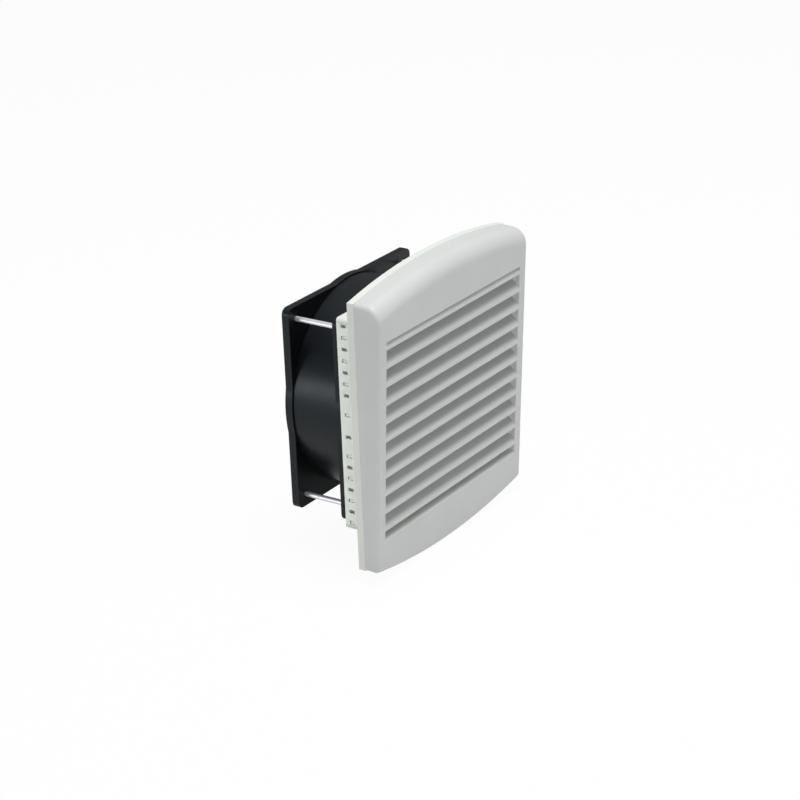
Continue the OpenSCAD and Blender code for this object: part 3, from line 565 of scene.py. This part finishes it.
def coverSkin(shape, inset, recessWide, recessTall):  # one skin of the shell, with a hole for the recess
    half = cover["width"] / 2 - inset
    edge = cover["edge"] - inset
    steps = columnSteps["edge"]
    rounds = [math.radians(90 * (1 - k / steps)) for k in range(steps + 1)]
    side = [(half - edge + edge * math.sin(a), inset + edge * (1 - math.cos(a))) for a in rounds]
    side += [(x, inset) for x in span(half - edge, recessWide, columnSteps["margin"])]
    columns = [(-x, i) for x, i in side]
    columns += [(x, inset) for x in span(-recessWide, recessWide, columnSteps["recess"])]
    columns += [(x, i) for x, i in side[-2::-1]]
    grid = [[shape.verts.new((x, y, z)) for y, z in coverColumn(x, i, recessTall)] for x, i in columns]
    first = len(side) - 1
    last = len(columns) - len(side)
    for i in range(len(columns) - 1):
        for j in range(len(grid[0]) - 1):
            if not (first <= i < last and sillRow <= j < lintelRow):
                shape.faces.new((grid[i][j], grid[i + 1][j], grid[i + 1][j + 1], grid[i][j + 1]))
    shape.faces.new(grid[0])
    shape.faces.new(grid[-1])
    hole = [grid[i][sillRow] for i in range(first, last)]
    hole += [grid[last][j] for j in range(sillRow, lintelRow)]
    hole += [grid[i][lintelRow] for i in range(last, first, -1)]
    hole += [grid[first][j] for j in range(lintelRow, sillRow, -1)]
    rim = [column[0] for column in grid] + [column[-1] for column in reversed(grid)]
    return hole, rim


def coverShell():
    shape = bmesh.new()
    lip, collar, chamfer = louvre["lip"], louvre["collar"], louvre["chamfer"]
    wide, tall, deep = louvre["width"] / 2, recessHalf, louvre["collarDepth"]
    swell, down = louvre["endRound"]
    drop, rise = louvre["footDrop"], louvre["footRise"]
    outerHole, outerRim = coverSkin(shape, 0.0, wide + lip, tall + lip)
    innerHole, innerRim = coverSkin(shape, cover["wall"], wide + collar, tall + collar)
    bridge(shape, outerRim, innerRim)
    angles = [math.radians(a) for a in span(0, 90, recessSteps)]
    inside = [(lip * (1 - math.sin(a)), 0, lip * (1 - math.cos(a))) for a in angles]
    inside += [(0, 1 - math.cos(a), lip + down * math.sin(a)) for a in angles]
    inside += [(0, 1, deep - chamfer), (chamfer, 1, deep)]
    # loops of the recess's wall: growth, share of the ends' curve, lift of the foot, depth
    loops = [(grow, share, rise * min(y / louvre["footDepth"], 1), y) for grow, share, y in inside]
    loops += [(collar - chamfer, 0, 0, deep), (collar, 0, 0, deep - chamfer)]
    shares = []
    for v in outerHole:
        z = v.co.z - louvre["middle"]
        shares.append((v.co.x / (wide + lip), z / (tall + lip + (drop if z < 0 else 0))))
    ring = outerHole
    for grow, share, lift, y in loops:
        following = []
        for u, w in shares:
            x = u * (wide + grow - swell * share)
            z = w * (tall + grow + (drop - lift if w < 0 else 0))
            following.append(shape.verts.new((x, y, louvre["middle"] + z)))
        bridge(shape, ring, following)
        ring = following
    bridge(shape, ring, innerHole)
    outward(shape)
    shape.transform(leaning)
    dress("coverShell", shape, coverFinish, "cover", ["front_cover"])


def slatSection():  # round nose, plate that rises to the back, outline of depth and height
    nose, run = louvre["nose"], louvre["run"]
    lean = math.atan2(louvre["rise"], run)
    slope = math.tan(lean)
    top = nose * math.cos(lean) + (run - nose * (1 - math.sin(lean))) * slope
    under = top - louvre["thickness"] / math.cos(lean)
    start = 90 + math.degrees(lean)
    outline = arc((nose, 0), nose, start, start + louvre["noseWrap"], louvre["noseSteps"])
    return outline + [(run, under), (run, top)]


slatFront = -(cover["flange"] + coverMiddle) * math.cos(coverTilt)
# the slats' finish paints shade into the channels between them: tone(112, 114, 113) mixed in, darker with
# depth behind the face
slatFinish = mouldedPlastic("slatGrey", {
    "tone": tone(203, 206, 204), "grain": 0.6 * mm, "rough": 0.42, "relief": 0.012 * mm, "dust": 0.1,
    "paintedShade": {"lean": (math.cos(coverTilt), math.sin(coverTilt)), "start": slatFront + 0.2 * mm,
             "full": slatFront + 2.2 * mm, "share": 0.48, "tone": tone(112, 114, 113)}})


def louvreSlats():
    slat = bmesh.new()
    reach = louvre["width"] / 2 + louvre["sink"]
    prism(slat, -reach, reach, slatSection())
    outward(slat)
    pattern = patternOf("slatPattern", slat)
    growth = Growth("louvreSlats", {"Slats": "Int", "Lowest": "Vector", "Step": "Vector", "Slat": "Object"})
    sockets = {"Count": growth.take("Slats"), "Start Location": growth.take("Lowest"),
               "Offset": growth.take("Step")}
    growth.close(growth.node("GeometryNodeMeshLine", {"mode": "OFFSET"}, sockets), "Slat")
    lowest = louvre["middle"] - (louvre["slats"] - 1) / 2 * louvre["pitch"]
    mesh = growth.grow({"Slats": louvre["slats"], "Lowest": (0, 0, lowest), "Step": (0, 0, louvre["pitch"]),
                        "Slat": pattern, "Finish": slatFinish})
    bpy.data.objects.remove(pattern)
    shape = bmesh.new()  # the top slat ends in the wall of the recess
    shape.from_mesh(mesh)
    ceiling = (0, 0, louvre["middle"] + recessHalf + louvre["sink"])
    geometry = shape.verts[:] + shape.edges[:] + shape.faces[:]
    cut = bmesh.ops.bisect_plane(shape, geom=geometry, plane_co=ceiling, plane_no=(0, 0, 1), clear_outer=True)
    bmesh.ops.edgeloop_fill(shape, edges=[e for e in cut["geom_cut"] if isinstance(e, bmesh.types.BMEdge)])
    outward(shape)
    shape.transform(leaning)
    dress("louvreSlats", shape, slatFinish, "cover", ["front_cover"])


def coverRibs():  # upright ribs behind the slats; the outer pair carries the tongues
    shape = bmesh.new()
    half = ribs["thickness"] / 2
    thin = half * ribs["tongueShare"]
    wide = ribs["tongueWidth"] / 2
    low = louvre["middle"] - recessHalf - louvre["footDrop"] - louvre["collar"] / 2
    high = louvre["middle"] + recessHalf + louvre["collar"] / 2
    back = -cover["flange"] - cover["rimGap"]
    root, reach = back - ribs["tongueRoot"], ribs["tongueReach"]
    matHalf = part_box("filter_mat")[1].z

    def upright(x, ends, rear):
        foot, head = [leaning @ Vector((0, ribs["start"], z)) for z in ends]
        prism(shape, x - half, x + half, [(foot.y, foot.z), (rear, foot.z), (rear, head.z), (head.y, head.z)])

    for side in (-1, 1):
        x = side * ribs["outer"]
        upright(x, (low, high), back)
        for z in (-ribs["tongueHeight"], ribs["tongueHeight"]):
            outline = [(root, z - wide), (reach, z - wide), (reach, z + wide), (root, z + wide)]
            prism(shape, x - thin, x + thin, outline)
        upright(side * ribs["inner"], (-matHalf, matHalf), ribs["innerReach"])
    outward(shape)
    soften(shape, ribs["round"])
    dress("coverRibs", shape, coverFinish, "cover", ["front_cover"])


coverShell()
louvreSlats()
coverRibs()
print("front cover made")


# base frame, seal and guard: the CAD shapes with moulded rounds; the snap strips are built anew
strip = {"windowHeight": 2 * mm, "windowLength": 3.5 * mm, "windowPlace": 12.3 * mm, "nearest": 6.5 * mm,
         "first": 17.8 * mm, "pitch": 6.67 * mm, "rows": 7, "round": 0.16 * mm, "toothHalf": 0.72 * mm,
         "toothLow": 0.45 * mm, "toothHigh": 0.1 * mm, "toothBack": 0.97 * mm, "toothShort": 0.7 * mm}


def latticePlate(shape, sides, ys, zs, holes):  # plate across X with open cells
    layers = [[[shape.verts.new((x, y, z)) for z in zs] for y in ys] for x in sides]
    cells = {(i, j) for i in range(len(ys) - 1) for j in range(len(zs) - 1)} - holes
    for i, j in sorted(cells):
        for layer in layers:
            shape.faces.new((layer[i][j], layer[i + 1][j], layer[i + 1][j + 1], layer[i][j + 1]))
        walls = {(i - 1, j): ((i, j), (i, j + 1)), (i + 1, j): ((i + 1, j), (i + 1, j + 1)),
                 (i, j - 1): ((i, j), (i + 1, j)), (i, j + 1): ((i, j + 1), (i + 1, j + 1))}
        for beyond, ((a, b), (c, d)) in walls.items():
            if beyond not in cells:
                shape.faces.new((layers[0][a][b], layers[0][c][d], layers[1][c][d], layers[1][a][b]))


def snapStrip(nodeName, pieceName, side):  # comb strip: a row of windows, a spring tooth in every other one
    low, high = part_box(nodeName)
    outer, inner = (high.x, low.x) if side > 0 else (low.x, high.x)
    front = strip["windowPlace"] - strip["windowLength"] / 2
    rear = strip["windowPlace"] + strip["windowLength"] / 2
    upper = [strip["nearest"]] + [strip["first"] + k * strip["pitch"] for k in range(strip["rows"])]
    heights = sorted([-z for z in upper] + upper)
    half = strip["windowHeight"] / 2
    zs = [low.z] + [z + h for z in heights for h in (-half, half)] + [high.z]
    shape = bmesh.new()
    windows = {(1, 2 * k + 1) for k in range(len(heights))}
    latticePlate(shape, (outer, inner), [low.y, front, rear, high.y], zs, windows)
    tip = rear - strip["toothShort"]
    back = strip["toothBack"]
    for z in heights[::2]:
        ends = [(strip["toothLow"], front), (strip["toothHigh"], tip), (back, tip), (back, front)]
        lid = [[shape.verts.new((outer - side * x, y, z + h)) for x, y in ends]
               for h in (-strip["toothHalf"], strip["toothHalf"])]
        tube(shape, lid)
    outward(shape)
    soften(shape, strip["round"])
    dress(pieceName, shape, stripFinish, "base", [nodeName])


softCopy("base_frame", "baseFrame", frameFinish)
softCopy("panel_seal", "panelSeal", foamFinish)
softCopy("finger_guard", "fingerGuard", guardFinish, joined=False)
snapStrip("left_snap_strip", "leftSnapStrip", -1)
snapStrip("right_snap_strip", "rightSnapStrip", 1)
print("base frame made")


# filter mat: a soft pad with loose fibres on both faces
mat = {"cell": 2 * mm, "rows": 8, "edgeRound": 3 * mm, "pinch": 0.3, "tuck": 0.6 * mm, "lumps": 0.35 * mm,
       "lumpSize": 9 * mm, "octaves": 3, "crease": 60}
fibre = {"perArea": 190000, "length": 5 * mm, "radius": 0.045 * mm, "bow": 0.12, "sweep": 0.10, "steps": 4,
         "sides": 3, "tilt": 0.3, "seed": 7, "crease": 180}


def matShape():
    low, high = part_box("filter_mat")
    middle = (low + high) / 2
    half = (high - low) / 2
    steps = round(2 * half.x / mat["cell"])
    rows = mat["rows"]
    shape = bmesh.new()
    bmesh.ops.create_cube(shape, size=2)
    bmesh.ops.subdivide_edges(shape, edges=shape.edges, cuts=rows - 1, use_grid_fill=True)
    wide = [e for e in shape.edges if abs(e.verts[0].co.y - e.verts[1].co.y) < 0.001]
    bmesh.ops.subdivide_edges(shape, edges=wide, cuts=max(1, steps // rows - 1), use_grid_fill=True)
    for v in shape.verts:
        x, y, z = v.co.x * half.x, v.co.y, v.co.z * half.z
        edge = min(half.x - abs(x), half.z - abs(z))
        pinch = mat["pinch"] * max(0.0, 1 - edge / mat["edgeRound"]) ** 2
        inward = 1 - (mat["tuck"] / half.x) * abs(y) ** 3
        spot = Vector((x, y * half.y, z)) / mat["lumpSize"]
        lump = mat["lumps"] * noise.fractal(spot, 1.0, 2.0, mat["octaves"])
        depth = y * (half.y * (1 - pinch) - mat["lumps"]) + lump * abs(y)
        v.co = Vector((x * inward, depth, z * inward)) + middle
    outward(shape)
    return shape


def fibreShape():  # one bent hair
    shape = bmesh.new()
    length, radius, steps = fibre["length"], fibre["radius"], fibre["steps"]
    corners = [math.radians(360 / fibre["sides"] * k) for k in range(fibre["sides"])]
    edges = [Vector((0, radius * math.cos(a), radius * math.sin(a))) for a in corners]
    rings = []
    for k in range(steps + 1):
        t = k / steps
        bow = length * fibre["bow"] * math.sin(math.pi * t)
        centre = Vector((length * (t - 0.5), bow, length * fibre["sweep"] * t * t))
        rings.append([shape.verts.new(centre + edge) for edge in edges])
    tube(shape, rings)
    return shape


def filterMat():
    mesh = meshOf(matShape(), "filterMat")
    pad = dress("filterMat", mesh, fleeceFinish, "base", ["filter_mat"], mat["crease"])
    ground = addObject("fibreGround", mesh.copy())
    hair = patternOf("fibrePattern", fibreShape())
    growth = Growth("filterFibres", {"Pad": "Object", "Fibre": "Object", "Density": "Float", "Seed": "Int"})
    sockets = {"Mesh": growth.shapeOf("Pad"), "Density": growth.take("Density"), "Seed": growth.take("Seed")}
    points = growth.node("GeometryNodeDistributePointsOnFaces", None, sockets)
    tilt = fibre["tilt"]
    sockets = {0: (-tilt, 0.0, -tilt), 1: (tilt, 2 * math.pi, tilt), "Seed": growth.take("Seed")}
    turn = growth.node("FunctionNodeRandomValue", {"data_type": "FLOAT_VECTOR"}, sockets)
    growth.close(points, "Fibre", turn)
    loose = growth.grow({"Pad": ground, "Fibre": hair, "Density": fibre["perArea"], "Seed": fibre["seed"],
                         "Finish": fleeceFinish})
    bpy.data.objects.remove(ground)
    bpy.data.objects.remove(hair)
    low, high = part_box("filter_mat")
    for v in loose.vertices:  # hairs lie on the pad and stay in its room
        v.co = Vector(min(max(c, a), b) for c, a, b in zip(v.co, low, high))
    dress("filterFibres", loose, fleeceFinish, "base", ["filter_mat"], fibre["crease"])


filterMat()
print("filter mat made")


# fan frame: one casting, so the four solids are joined and then rounded
fanRound = 0.5 * mm


def fanFrame():
    names = ["fan_front_flange", "fan_barrel", "fan_rear_flange", "motor_base"]
    parts = [patternOf(n + "Copy", mergedShape(n)) for n in names]
    for other in parts[1:]:
        combine(parts[0], other, "UNION")
    mesh = plainMesh(parts[0])
    for other in parts[1:]:
        bpy.data.objects.remove(other)
    shape = bmesh.new()
    shape.from_mesh(mesh)
    bmesh.ops.remove_doubles(shape, verts=shape.verts, dist=joins["welded"])
    joinFlats(shape)
    soften(shape, fanRound)
    dress("fanFrame", shape, fanFinish, "base", names)


fanFrame()
print("fan frame made")


# impeller: hub turned, blades grown round the axis
hub = {"radius": 31.5 * mm, "inner": 29.03 * mm, "front": 18.8 * mm, "rear": 46.8 * mm, "steps": 128,
       "frontWall": 2.5 * mm, "round": 2 * mm, "roundSteps": 8, "chamfer": 0.4 * mm, "bossHole": 6.03 * mm,
       "grooves": (14 * mm, 24 * mm), "grooveWidth": 1.8 * mm, "grooveDepth": 0.4 * mm, "slope": 0.3 * mm}
blade = {"count": 5, "tip": 56.35 * mm, "thickness": 2.4 * mm, "taper": 0.35, "edgeShare": 0.4,
         "endRound": 0.02, "wrapRoot": 42, "wrapTip": 48, "camber": 0.35, "sweep": -10, "sink": 1.2 * mm,
         "inset": 1.5 * mm, "frontCut": 1 * mm, "rearCut": 3 * mm, "flare": 0.8 * mm, "flareReach": 1.2 * mm,
         "flareEdge": 0.3, "rows": 18, "crowding": 1.4, "around": 64, "crease": 50}


def hubShape():
    front, rear, outer, inner = (hub[k] for k in ("front", "rear", "radius", "inner"))
    edge, chamfer, slope = hub["round"], hub["chamfer"], hub["slope"]
    outline = [(hub["bossHole"], front)]
    for groove in hub["grooves"]:  # moulded rings in the front
        far = groove + hub["grooveWidth"]
        floor = front + hub["grooveDepth"]
        outline += [(groove, front), (groove + slope, floor), (far - slope, floor), (far, front)]
    outline += arc((outer - edge, front + edge), edge, -90, 0, hub["roundSteps"])
    outline += [(outer, rear - chamfer), (outer - chamfer, rear)]
    outline += [(inner + slope, rear), (inner, rear - slope)]
    outline += [(inner, front + hub["frontWall"]), (hub["bossHole"], front + hub["frontWall"])]
    return turnedShape(outline, hub["steps"])


def bladePoint(q, s, side):  # q runs from root to tip, s along the chord
    wrap = blade["wrapRoot"] + (blade["wrapTip"] - blade["wrapRoot"]) * q
    camber = blade["camber"]
    root = hub["radius"] - blade["sink"]
    radius = root + (blade["tip"] - root) * q
    front = hub["front"] + blade["inset"] + blade["frontCut"] * q
    chord = hub["rear"] - blade["inset"] - blade["rearCut"] * q - front
    along = radius * math.radians(wrap) * (1 + camber - 2 * camber * s)
    belly = math.sin(math.pi * s)
    thickness = blade["thickness"] * (1 - blade["taper"] * q)
    half = thickness * (blade["edgeShare"] + (1 - blade["edgeShare"]) * belly) / 2
    flare = blade["flare"] * math.exp(-(radius - hub["radius"]) / blade["flareReach"])
    half += flare * (blade["flareEdge"] + belly)
    end = min(1.0, min(s, 1 - s) / blade["endRound"])
    k = side * half * math.sqrt(1 - (1 - end) ** 2) / math.hypot(along, chord)
    turn = blade["sweep"] * q + wrap * (s * (1 + camber) - camber * s * s - 0.5)
    angle = math.radians(turn) - k * chord / radius
    return Vector((radius * math.cos(angle), front + chord * s + k * along, radius * math.sin(angle)))


def bladeShape():
    shape = bmesh.new()
    rows, around = blade["rows"], blade["around"]
    rings = []
    for i in range(rows + 1):
        q = (i / rows) ** blade["crowding"]
        ring = []
        for j in range(around):
            turn = 2 * math.pi * (j + 0.5) / around
            side = 1 if turn < math.pi else -1
            ring.append(shape.verts.new(bladePoint(q, (1 - math.cos(turn)) / 2, side)))
        rings.append(ring)
    for here, there in zip(rings, rings[1:]):
        bridge(shape, here, there)
    for ring in (rings[0], rings[-1]):
        for j in range(around // 2 - 1):
            shape.faces.new((ring[j], ring[j + 1], ring[around - 2 - j], ring[around - 1 - j]))
    outward(shape)
    return shape


def fanImpeller():
    pattern = patternOf("bladePattern", bladeShape())
    growth = Growth("impellerBlades", {"Blades": "Int", "Blade": "Object"})
    sockets = {"Count": growth.take("Blades"), "Offset": (0, 0, 0)}
    places = growth.node("GeometryNodeMeshLine", {"mode": "OFFSET"}, sockets)
    turn = growth.node("GeometryNodeInputIndex") * (2 * math.pi) / growth.take("Blades")
    growth.close(places, "Blade", growth.node("ShaderNodeCombineXYZ", None, {"Y": turn}))
    mesh = growth.grow({"Blades": blade["count"], "Blade": pattern, "Finish": bladeFinish})
    bpy.data.objects.remove(pattern)
    dress("impellerBlades", mesh, bladeFinish, "rotor", ["impeller"], blade["crease"])
    dress("impellerHub", hubShape(), bladeFinish, "rotor", ["impeller"])


fanImpeller()
print("impeller made")


# fan screws: threaded shank, pan head with a cross recess
screw = {"spacing": 104.8 * mm, "radius": 1.5 * mm, "tip": 10.6 * mm, "seat": 55.6 * mm, "steps": 24,
         "threadPitch": 0.5 * mm, "threadDepth": 0.26 * mm, "threadEnd": 21 * mm, "valley": 0.42,
         "turnRows": 4}
screwHead = {"radius": 3.25 * mm, "height": 2.4 * mm, "round": 1.0 * mm, "arc": 70, "arcSteps": 8,
             "steps": 48, "chamfer": 0.2 * mm, "crown": 0.02 * mm, "crownShare": 0.35}
cross = {"length": 1.85 * mm, "width": 0.5 * mm, "depth": 1.5 * mm, "above": 0.2 * mm, "taper": 0.55}


def shankShape():  # thread at the tip, plain from there to the head
    shape = bmesh.new()
    steps, pitch, tip = screw["steps"], screw["threadPitch"], screw["tip"]
    rows = round((screw["threadEnd"] - tip) / pitch * screw["turnRows"])
    rings = []
    for i in range(rows + 1):
        y = tip + (screw["threadEnd"] - tip) * i / rows
        cone = max(0.0, 1 - (y - tip) / pitch)
        ring = []
        for j in range(steps):
            turn = 2 * math.pi * j / steps
            phase = (y / pitch - j / steps) % 1.0
            valley = max(0.0, 1 - abs(phase - 0.5) / screw["valley"]) if i < rows else 0.0
            radius = screw["radius"] - screw["threadDepth"] * valley - cone * pitch
            ring.append(shape.verts.new((radius * math.cos(turn), y, radius * math.sin(turn))))
        rings.append(ring)
    rings.append([shape.verts.new((v.co.x, screw["seat"], v.co.z)) for v in rings[-1]])
    tube(shape, rings)
    return shape


def headShape():
    seat, top = screw["seat"], screw["seat"] + screwHead["height"]
    head, edge, chamfer = screwHead["radius"], screwHead["round"], screwHead["chamfer"]
    outline = [(0, seat), (head - chamfer, seat), (head, seat + chamfer)]
    outline += arc((head - edge, top - edge), edge, 0, screwHead["arc"], screwHead["arcSteps"])
    outline += [(head * screwHead["crownShare"], top - screwHead["crown"]), (0, top)]
    return turnedShape(outline, screwHead["steps"])


def crossShape():  # tapered cross that cuts the recess
    shape = bmesh.new()
    top = screw["seat"] + screwHead["height"] + cross["above"]
    floor = top - cross["depth"]
    long, wide, taper = cross["length"], cross["width"], cross["taper"]
    corners = ((-1, -1), (1, -1), (1, 1), (-1, 1))
    for x, z in ((long, wide), (wide, long)):
        upper = [shape.verts.new((a * x, top, b * z)) for a, b in corners]
        lower = [shape.verts.new((v.co.x * taper, floor, v.co.z * taper)) for v in upper]
        tube(shape, (upper, lower))
    return shape


def fanScrews():
    head = patternOf("headPattern", headShape())
    cutter = patternOf("crossPattern", crossShape())
    combine(head, cutter, "DIFFERENCE").use_self = True
    shape = bmesh.new()
    shape.from_mesh(plainMesh(head))
    shape.from_mesh(meshOf(shankShape(), "shank"))
    bpy.data.objects.remove(cutter)
    pattern = patternOf("screwPattern", shape)
    growth = Growth("fanScrews", {"Spacing": "Float", "Screw": "Object"})
    spacing = growth.take("Spacing")
    sockets = {"Size X": spacing, "Size Y": spacing, "Vertices X": 2, "Vertices Y": 2}
    flat = growth.node("GeometryNodeMeshGrid", None, sockets)
    sockets = {"Geometry": flat, "Rotation": (math.pi / 2, 0, 0)}
    growth.close(growth.node("GeometryNodeTransform", None, sockets), "Screw")
    mesh = growth.grow({"Spacing": screw["spacing"], "Screw": pattern, "Finish": zincFinish})
    bpy.data.objects.remove(pattern)
    dress("fanScrews", mesh, zincFinish, "base", ["fan_screws"])


fanScrews()
softCopy("fan_washers", "fanWashers", zincFinish)
print("screws made")


# motor cap: pressed disc with shallow rings
cap = {"radius": 28.5 * mm, "front": 53.3 * mm, "rear": 54.8 * mm, "chamfer": 0.2 * mm, "round": 0.35 * mm,
       "roundDip": 0.1 * mm, "rings": (20 * mm, 10 * mm), "pressed": 0.35 * mm, "steps": 96,
       "ringSlope": ((1.6 * mm, 0.0), (1.2 * mm, 0.15), (0.7 * mm, 1.0))}


def motorCap():
    front, rear, radius, deep = cap["front"], cap["rear"], cap["radius"], cap["pressed"]
    chamfer, edge, dip = cap["chamfer"], cap["round"], cap["roundDip"]
    outline = [(0, front), (radius - chamfer, front), (radius, front + chamfer)]
    outline += [(radius, rear - edge), (radius - dip, rear - dip), (radius - edge, rear)]
    for ring in cap["rings"]:
        outline += [(ring + away, rear - share * deep) for away, share in cap["ringSlope"]]
        outline += [(ring - away, rear - share * deep) for away, share in reversed(cap["ringSlope"])]
    outline += [(0, rear)]
    shape = turnedShape(outline, cap["steps"])
    dress("motorCap", shape, capFinish, "base", ["motor_cap"])


motorCap()
softCopy("terminal_block", "terminalBlock", blockFinish)
softCopy("terminal_pins", "terminalPins", tabFinish)
print("motor outside made")


# inner motor: the CAD shapes are right, and get their own materials
innerFinishes = {
    "screw_inserts": brassFinish,
    "motor_leads": leadFinish,
    "bearing_tube": brassFinish,
    "front_bush": bronzeFinish,
    "rear_bush": bronzeFinish,
    "oil_felt": feltFinish,
    "stator_core": stackFinish,
    "front_insulator": creamFinish,
    "rear_insulator": creamFinish,
    "stator_coils": copperFinish,
    "hub_boss": brassFinish,
    "rotor_core": stackFinish,
    "rotor_end_rings": cageFinish,
    "shaft": shaftFinish,
    "thrust_washers": nylonFinish,
    "retaining_ring": springFinish,
}
for nodeName, finish in innerFinishes.items():
    nodes[nodeName].data.materials.clear()
    nodes[nodeName].data.materials.append(finish)
print("motor inside finished")


# stage: white floor that keeps a soft shadow, white surroundings, large soft lamps
studio = {"floorSize": 6.0, "floorTone": 0.85, "floorGlow": 0.95, "mirrored": 0.2, "ambient": 0.3,
          "target": (0.0, 0.0, 0.0)}
lamps = {
    "skyLamp": {"place": (-0.05, -0.2, 1.45), "size": 0.8, "power": 19},
    "frontLamp": {"place": (-0.2, -1.45, 0.25), "size": 0.8, "power": 2.5},
    "sideLamp": {"place": (-1.2, 0.8, 0.08), "size": 0.36, "power": 2.6},
}


def seenDirect(sketch):  # 1 for rays from the camera, less for rays from metal and glass
    def path(kind):
        return sketch.node("ShaderNodeLightPath", output=kind)
    return path("Is Camera Ray") + (path("Is Glossy Ray") + path("Is Transmission Ray")) * studio["mirrored"]


def studioFloor():
    shape = bmesh.new()
    bmesh.ops.create_grid(shape, x_segments=1, y_segments=1, size=studio["floorSize"] / 2)
    bmesh.ops.translate(shape, verts=shape.verts, vec=(0, 0, cadBox[0].z))
    floor = patternOf("studioFloor", shape)
    finish = Finish("studioFloor")
    path = seenDirect(finish)
    matte = finish.node("ShaderNodeBsdfDiffuse", None, {"Color": (studio["floorTone"],) * 3})
    glow = finish.node("ShaderNodeEmission", None, {"Color": (1.0, 1.0, 1.0), "Strength": 1.0})
    mixed = finish.node("ShaderNodeMixShader", None, {0: path * studio["floorGlow"], 1: matte, 2: glow})
    finish.node("ShaderNodeOutputMaterial", None, {"Surface": mixed})
    floor.data.materials.append(finish.material)


def surroundings():
    world = bpy.data.worlds.new("studio")
    world.use_nodes = True
    sketch = Sketch(world.node_tree)
    sketch.tree.nodes.clear()
    strength = studio["ambient"] + seenDirect(sketch) * (1 - studio["ambient"])
    sky = sketch.node("ShaderNodeBackground", None, {"Color": (1.0, 1.0, 1.0), "Strength": strength})
    sketch.node("ShaderNodeOutputWorld", None, {"Surface": sky})
    bpy.context.scene.world = world


def hangLamps():
    for name, look in lamps.items():
        data = bpy.data.lights.new(name, "AREA")
        data.shape = "DISK"
        data.size = look["size"]
        data.energy = look["power"]
        lamp = addObject(name, data)
        lamp.location = look["place"]
        away = Vector(look["place"]) - Vector(studio["target"])
        lamp.rotation_euler = away.to_track_quat("Z", "Y").to_euler()


# camera fitted to the photograph; angles in degrees, lengths in metres
view = {"azimuth": -55.48, "elevation": 22.55, "roll": -2.23, "distance": 1.33142, "right": -0.01637,
        "up": -0.00435, "focalPixels": 2386.65, "imageWidth": 800, "sensor": 36.0}


def placeCamera():
    a, e, r = (math.radians(view[k]) for k in ("azimuth", "elevation", "roll"))
    back = Vector((math.sin(a) * math.cos(e), -math.cos(a) * math.cos(e), math.sin(e)))
    right = Vector((math.cos(a), math.sin(a), 0))
    up = back.cross(right)
    right, up = right * math.cos(r) + up * math.sin(r), up * math.cos(r) - right * math.sin(r)
    place = right * view["right"] + up * view["up"] + back * view["distance"]
    data = bpy.data.cameras.new("photoCamera")
    data.sensor_width = view["sensor"]
    data.lens = view["focalPixels"] * view["sensor"] / view["imageWidth"]
    data.clip_start = 0.05
    camera = addObject("photoCamera", data)
    camera.matrix_world = Matrix.Translation(place) @ Matrix((right, up, back)).transposed().to_4x4()
    bpy.context.scene.camera = camera


studioFloor()
surroundings()
hangLamps()
placeCamera()
bpy.context.scene.view_settings.view_transform = "Standard"
print("stage set")
